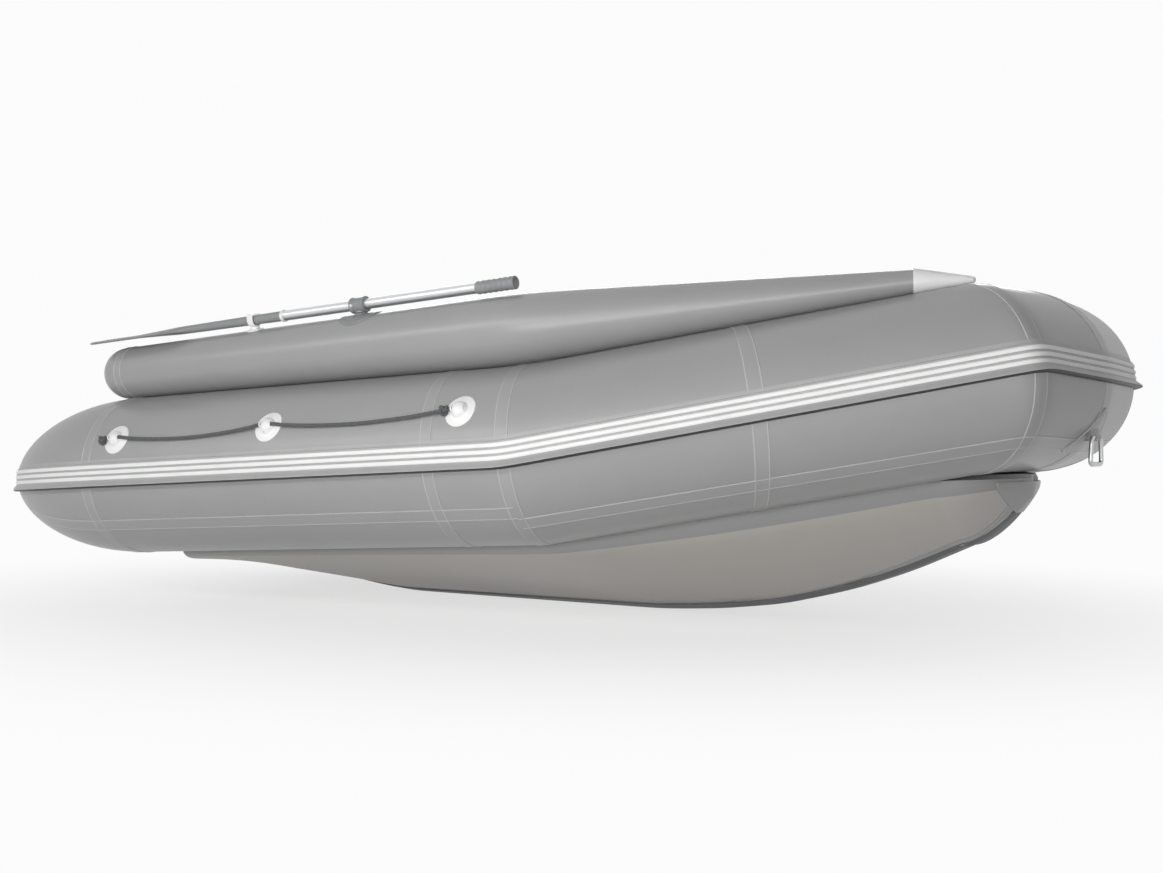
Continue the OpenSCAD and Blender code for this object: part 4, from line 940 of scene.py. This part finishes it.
CLIP_FOOT = mm((25, -0.5), (25, 1.2), (23.5, 2.4), (18, 3.4), (13, 6), (11.2, 10.5))
bolt_head = lathe_up([(SHAFT_R + LOCK_WALL + z, r) for z, r in BOLT_HEAD], 24, 6, 0.03)


def over_bulwark(along, across, lift):
    """Points over a bulwark's straight run, from a lock's origin: along it, round it, height over it."""
    along, across, lift = np.broadcast_arrays(along, across, lift)
    r = bulwark_r(LOCK_X + along)
    turn = PIN_TILT + across / r
    return np.stack([LOCK_X + along, -TUBE_Y - (r + lift) * np.sin(turn),
                     TUBE_R + SEAT_GAP + r + (r + lift) * np.cos(turn)], -1)


def clip_hook():
    """The clip's open ring round the shaft, with lips turned outward at its mouth."""
    turn = np.radians(np.linspace(*CLIP_TURN, 46))
    section = circle(1.0, 14)
    section = np.sign(section) * np.abs(section) ** 0.55
    rows = []
    for i, a in enumerate(turn):
        lip = CLIP_LIP * (np.exp(-(i / 3.0) ** 2) + np.exp(-((i - len(turn) + 1) / 3.0) ** 2))
        reach = CLIP_R + lip + section[:, 0] * CLIP_T
        across = CLIP_X + section[:, 1] * CLIP_W
        rows.append(np.stack([across, reach * cos(a), reach * sin(a)], 1))
    return np.array(rows)


for side, sign in SIDES:
    body = "oar_" + side

    def oar_piece(name, grids, finish, slot, replaces, place=from_oar, rides=body, **options):
        joined_piece(f"{name}_{side}", [mirrored(place(g), sign) for g in grids], finish, slot, body=rides,
                     replaces=[f"{node}_{side}" for node in replaces], **options)

    shaft = lathe([(-SHAFT_AFT, SHAFT_R), (GRIP_REACH - 0.012, SHAFT_R)])
    oar_piece("oar_tube", [shaft], aluminium, "oar_metal", ["oar_shaft"])
    oar_piece("oar_moulding", [blade_grid()], oar_grey, "oar_plastic", ["oar_blade"], sharp=60)
    oar_piece("oar_hand_grip", [lathe(grip_profile())], oar_grey, "oar_plastic", ["oar_grip"], sharp=50)
    oar_piece("oar_ring", [lathe([(x - SHAFT_AFT, r) for x, r in COLLAR])], white_plastic, "collar_white",
              ["oar_collar"])
    saddle = lathe_up([(BOSS_H + z - SHAFT_H, r) for z, r in LOCK_SADDLE])
    oar_piece("oar_lock", [lathe(LOCK_BARREL), saddle], oar_grey, "lock_plastic", ["oarlock"])
    head = bolt_head[:, :, [0, 2, 1]] * [1, -1, 1] - [0.015, 0, 0]
    oar_piece("oar_lock_bolt", [head], steel, "oar_metal", [])
    base = pad(BASE_PROFILE, over_bulwark, 64)
    oar_piece("lock_patch", [base], oar_grey, "base_grey", ["lock_base"], place=np.asarray, rides="hull")
    foot = pad(CLIP_FOOT, lambda a, c, h: over_bulwark(CLIP_X + a * 1.15, c, h), 40)
    oar_piece("clip_foot", [foot], white_plastic, "patch_white", [], place=np.asarray, rides="hull")
    oar_piece("clip_hook", [clip_hook()], white_plastic, "patch_white", ["oar_clip"], rides="hull")


# Tow ring, its patch and its sleeve on the nose

TOW_HALF, TOW_UP, TOW_DOWN = 0.124, 0.09, 0.062
TOW_FILLET = 0.03
NOSE_TURN = atan2(NOSE_BULGE, NOSE_HALF)
NOSE_ROUND = 0.02
SLEEVE_HALF, SLEEVE_RUN, SLEEVE_EDGE, SLEEVE_H = 0.032, 0.0128, 0.0012, 0.0198
RING_R = 0.006
RING_TOP, RING_LOW, RING_LEN = 0.086, 0.106, 0.07
RING_FILLET = 0.016


def over_nose(down, across, lift):
    """Points over the nose tube, from the tow ring's pivot: round the tube downward, across it, height."""
    turn = TOW_ANGLE + down / TUBE_R
    down, across, lift, turn = np.broadcast_arrays(down, across, lift, turn)
    reach = TUBE_R + lift
    bulge = -NOSE_BULGE * np.hypot(across, NOSE_ROUND) / NOSE_HALF
    ahead = reach * np.cos(turn) / cos(NOSE_TURN)
    return NOSE_TOP + np.stack([bulge + ahead, across, -reach * np.sin(turn)], -1)


def rounded_loop(corners, fillet, steps=8):
    """A closed line round corners that are turned in arcs."""
    corners = np.asarray(corners, float)
    line = []
    for before, here, after in zip(np.roll(corners, 1, 0), corners, np.roll(corners, -1, 0)):
        a = here + unit(before - here) * fillet
        b = here + unit(after - here) * fillet
        for t in np.linspace(0, 1, steps):
            line.append((1 - t) ** 2 * a + 2 * t * (1 - t) * here + t ** 2 * b)
    return np.array(line)


patch_edge = rounded_loop([[-TOW_UP, 0], [TOW_DOWN, -TOW_HALF], [TOW_DOWN, TOW_HALF]], TOW_FILLET)
patch_edge = even_steps(patch_edge, 140, closed=True)
# Rows of the patch from its edge inward: share of the way to its middle, height
PATCH_ROWS = ((1.0, -0.001), (1.0, 0.0024), (0.99, 0.0042), (0.97, 0.0048), (0.95, 0.0044), (0.94, 0.0036))
PATCH_ROWS += tuple((share, 0.0036) for share in (0.9, 0.86, 0.8, 0.72, 0.64, 0.56, 0.48, 0.4, 0.32, 0.24,
                                                  0.16, 0.08, 0.01))
patch_rows = []
for share, lift in PATCH_ROWS:
    down, across = share * patch_edge.T
    past = np.exp((np.abs(across) - SLEEVE_HALF) / SLEEVE_EDGE)
    sleeve = np.exp(-(np.abs(down) / SLEEVE_RUN) ** 2.6) / (1 + past)
    patch_rows.append(over_nose(down, across, lift + SLEEVE_H * sleeve))
patch_grid = np.array(patch_rows)
patch_faces = grid_faces(patch_grid, caps=(False, True))
# The patch's outer rows, its raised edge, get the lighter grey: a painted highlight round it
highlight_face_count = 5 * patch_grid.shape[1]
patch_finish = [int(i < highlight_face_count) for i in range(len(patch_faces))]
piece("tow_strap_patch", world(patch_grid), patch_faces, ([tape, weld_highlight], patch_finish), "tube_fabric",
      replaces=["tow_patch"], sharp=60)


def swept_loop(line, radius, sides=20):
    """A round bar along a closed line in a plane across X."""
    heading = unit_rows(np.roll(line, -1, 0) - np.roll(line, 1, 0))
    side = np.broadcast_to([1.0, 0.0, 0.0], heading.shape)
    grid = around(line, side, np.cross(heading, side), radius, turns(sides))
    return np.concatenate([grid, grid[:1]])


ring_corners = [[0, -RING_TOP / 2, 0], [0, RING_TOP / 2, 0], [0, RING_LOW / 2, -RING_LEN],
                [0, -RING_LOW / 2, -RING_LEN]]
ring_grid = swept_loop(ring_pivot + rounded_loop(ring_corners, RING_FILLET), RING_R)
piece("tow_ring_bar", ring_grid, grid_faces(ring_grid), steel, "ring_steel", body="tow_ring_body",
      replaces=["tow_ring"], sharp=60)


# Air valves with ribbed caps

VALVE_X = 0.33
VALVE_ANGLE = 64.0
VALVE_FLANGE = mm((27, -0.6), (27, 1.4), (26.2, 2.6), (24.5, 3), (21.5, 3), (20.5, 2.2), (20.3, 1))
VALVE_CAP = mm((19.5, 0.8), (19.8, 6.2), (18.8, 7.6), (16.5, 8), (8.5, 8), (7.5, 6.8), (0.3, 6.6))
VALVE_SIDES = 72


def over_shoulder(along, across, lift):
    """Points over a side tube's inner shoulder, from the valve's middle."""
    turn = np.radians(180 - VALVE_ANGLE) + across / TUBE_R
    return over_tube(VALVE_X + along, np.degrees(turn), lift)


def over_nose_top(along, across, lift):
    """Points over the top of the nose, from its valve's middle."""
    return over_nose((radians(-180 + VALVE_ANGLE) - TOW_ANGLE) * TUBE_R + along, across, lift)


def valve_grids(place):
    ribbed = pad(VALVE_CAP, place, VALVE_SIDES)
    middle = ribbed.mean(1, keepdims=True)
    notch = 1 + 0.03 * np.sign(np.sin(np.arange(VALVE_SIDES) * 2 * np.pi / 6))[None, :, None]
    ribbed[:2] = middle[:2] + (ribbed[:2] - middle[:2]) * notch
    return [pad(VALVE_FLANGE, place, VALVE_SIDES), ribbed]


valves = valve_grids(over_shoulder) + [mirrored(g, -1.0) for g in valve_grids(over_shoulder)]
joined_piece("valve_bodies", valves + valve_grids(over_nose_top), black_plastic, "black_plastic",
             replaces=["air_valves"], sharp=40)


# Wooden and moulded pieces that keep their CAD solids, with softened edges and small fasteners

DRESSED = (("transom_board", ply_paint, 0.004), ("bench_stern", ply_paint, 0.003),
           ("bench_bow", ply_paint, 0.003), ("transom_plates", black_plastic, 0.002),
           ("transom_holders", black_rubber_and_lip_shade, 0.003), ("bench_rails", black_plastic, 0.0006),
           ("bench_stern_clips", aluminium, 0.0008), ("bench_bow_clips", aluminium, 0.0008))
for name, finish, bevel in DRESSED:
    nodes[name].data.materials.clear()
    nodes[name].data.materials.append(finish)
    edge = nodes[name].modifiers.new("soft_edge", "BEVEL")
    edge.width = bevel
    edge.segments = 3
    edge.limit_method = "ANGLE"
    edge.angle_limit = radians(50)

# Screw heads on the transom's plates
TRANSOM_FRONT, TRANSOM_FOOT, TRANSOM_T, TRANSOM_TILT = 0.1, -0.256, 0.036, radians(8)
PLATE_FACE = 0.0052
SCREW = mm((-0.4, 8.5), (0.8, 8.5), (1.4, 7.9), (1.6, 6.2), (3.4, 5.2), (4.2, 3.6), (4.2, 2.6), (3, 2.1),
           (3, 0.2))
# Screws of the outer and the inner plate: side they face, half widths and heights at which they stand
PLATE_SCREWS = ((-1.0, (0.046, 0.138), (0.09, 0.006, -0.078)), (1.0, (0.04, 0.116), (0.09, 0.002)))


def from_transom(points):
    """Points of the board's frame, which leans with it, in the boat's own frame."""
    lean = turned_by(1, -TRANSOM_TILT)
    return (points - [0, 0, TRANSOM_FOOT]) @ lean.T + [TRANSOM_FRONT, 0, TRANSOM_FOOT]


screws = []
for facing, halves_y, heights in PLATE_SCREWS:
    face_x = PLATE_FACE if facing > 0 else -TRANSOM_T - PLATE_FACE
    for height in heights:
        for half_y in halves_y:
            for y in (-half_y, half_y):
                screws.append(from_transom(lathe(SCREW, 32) * [facing, 1, 1] + [face_x, y, height]))
joined_piece("transom_screws", screws, steel, "ring_steel")


# Stage, light and camera

# Lamps: name, place, target, width and height, power
LAMPS = (("key", (1.6, -4.4, 0.7), (0.3, 0.0, 0.5), (4.4, 0.7), 84),
         ("strip", (-0.8, -4.4, 2.1), (-0.2, 0.0, 0.5), (6.5, 0.45), 74),
         ("top", (0.0, 0.4, 4.4), (0.0, 0.0, 0.0), (5.0, 3.0), 15),
         ("fill", (-2.4, 5.0, 2.2), (0.0, 0.0, 0.5), (5.0, 2.5), 200))
for name, place, target, size, power in LAMPS:
    data = bpy.data.lights.new(name, "AREA")
    data.shape = "RECTANGLE"
    data.size, data.size_y = size
    data.energy = power
    lamp = bpy.data.objects.new(name, data)
    lamp.location = place
    lamp.rotation_euler = (Vector(target) - Vector(place)).to_track_quat("-Z", "Y").to_euler()
    bpy.context.scene.collection.objects.link(lamp)


def seen_as_white(tree):
    """One where a camera, mirror or glass ray meets the surface, and nought for other light."""
    path = add_node(tree, "LightPath")
    total = path.outputs["Is Camera Ray"]
    for ray in ("Is Glossy Ray", "Is Transmission Ray"):
        highest = add_node(tree, "Math", "MAXIMUM")
        tree.links.new(total, highest.inputs[0])
        tree.links.new(path.outputs[ray], highest.inputs[1])
        total = highest.outputs["Value"]
    return total


AMBIENT, WHITE = 0.085, 0.97
sky = bpy.data.worlds.new("studio")
sky.use_nodes = True
bpy.context.scene.world = sky
background = sky.node_tree.nodes["Background"]
background.inputs["Color"].default_value = (1, 1, 1, 1)
level = add_node(sky.node_tree, "MapRange", To_Min=AMBIENT, To_Max=WHITE)
sky.node_tree.links.new(seen_as_white(sky.node_tree), level.inputs["Value"])
wire(sky.node_tree, (level, "Result", background, "Strength"))

FLOOR_HALF = 60.0
FLOOR_Z = -0.0005
# Distances from the middle between which the floor's shadow fades out, and the share of white before that
SHADOW_NEAR, SHADOW_FAR, SHADOW_WHITE = 0.9, 2.6, 0.68
floor_mesh = bpy.data.meshes.new("studio_floor")
corners = [(x * FLOOR_HALF, y * FLOOR_HALF, FLOOR_Z) for x, y in ((-1, -1), (1, -1), (1, 1), (-1, 1))]
floor_mesh.from_pydata(corners, [], [(0, 1, 2, 3)])
floor = bpy.data.objects.new("studio_floor", floor_mesh)
bpy.context.scene.collection.objects.link(floor)
paint = bpy.data.materials.new("pale_floor")
paint.use_nodes = True
tree = paint.node_tree
matt = tree.nodes["Principled BSDF"]
matt.inputs["Base Color"].default_value = (0.88, 0.88, 0.88, 1)
matt.inputs["Roughness"].default_value = 0.9
glow = add_node(tree, "Emission", Strength=WHITE)
spot = add_node(tree, "TexCoord")
reach = add_node(tree, "VectorMath", "LENGTH")
fade = add_node(tree, "MapRange", From_Min=SHADOW_NEAR, From_Max=SHADOW_FAR, To_Min=SHADOW_WHITE)
fade.interpolation_type = "SMOOTHSTEP"
both = add_node(tree, "Math", "MULTIPLY")
blend = add_node(tree, "MixShader")
tree.links.new(seen_as_white(tree), both.inputs[1])
wire(tree, (spot, "Object", reach, 0), (reach, "Value", fade, "Value"), (fade, "Result", both, 0),
     (both, "Value", blend, "Fac"), (matt, "BSDF", blend, 1), (glow, "Emission", blend, 2),
     (blend, "Shader", tree.nodes["Material Output"], "Surface"))
floor_mesh.materials.append(paint)

# The camera's place and turn in the boat's own frame, and its focal length for a picture 1163 wide
CAMERA_AT = np.array([3.917, -4.404, -0.072])
CAMERA_YAW, CAMERA_PITCH, CAMERA_ROLL = (radians(a) for a in (31.9, 1.5, -2.3))
FOCAL_PX, PICTURE_W = 1673.0, 1163.0
aim = turned_by(2, CAMERA_YAW) @ turned_by(0, math.pi / 2 + CAMERA_PITCH) @ turned_by(2, CAMERA_ROLL)
axes = TURN @ aim
lens = bpy.data.cameras.new("camera")
lens.sensor_width = 36.0
lens.lens = FOCAL_PX / PICTURE_W * lens.sensor_width
lens.clip_end = 200.0
camera = bpy.data.objects.new("camera", lens)
camera.matrix_world = Matrix([[*row, place] for row, place in zip(axes, world(CAMERA_AT))] + [[0, 0, 0, 1]])
bpy.context.scene.collection.objects.link(camera)
bpy.context.scene.camera = camera
bpy.context.scene.view_settings.view_transform = "Standard"
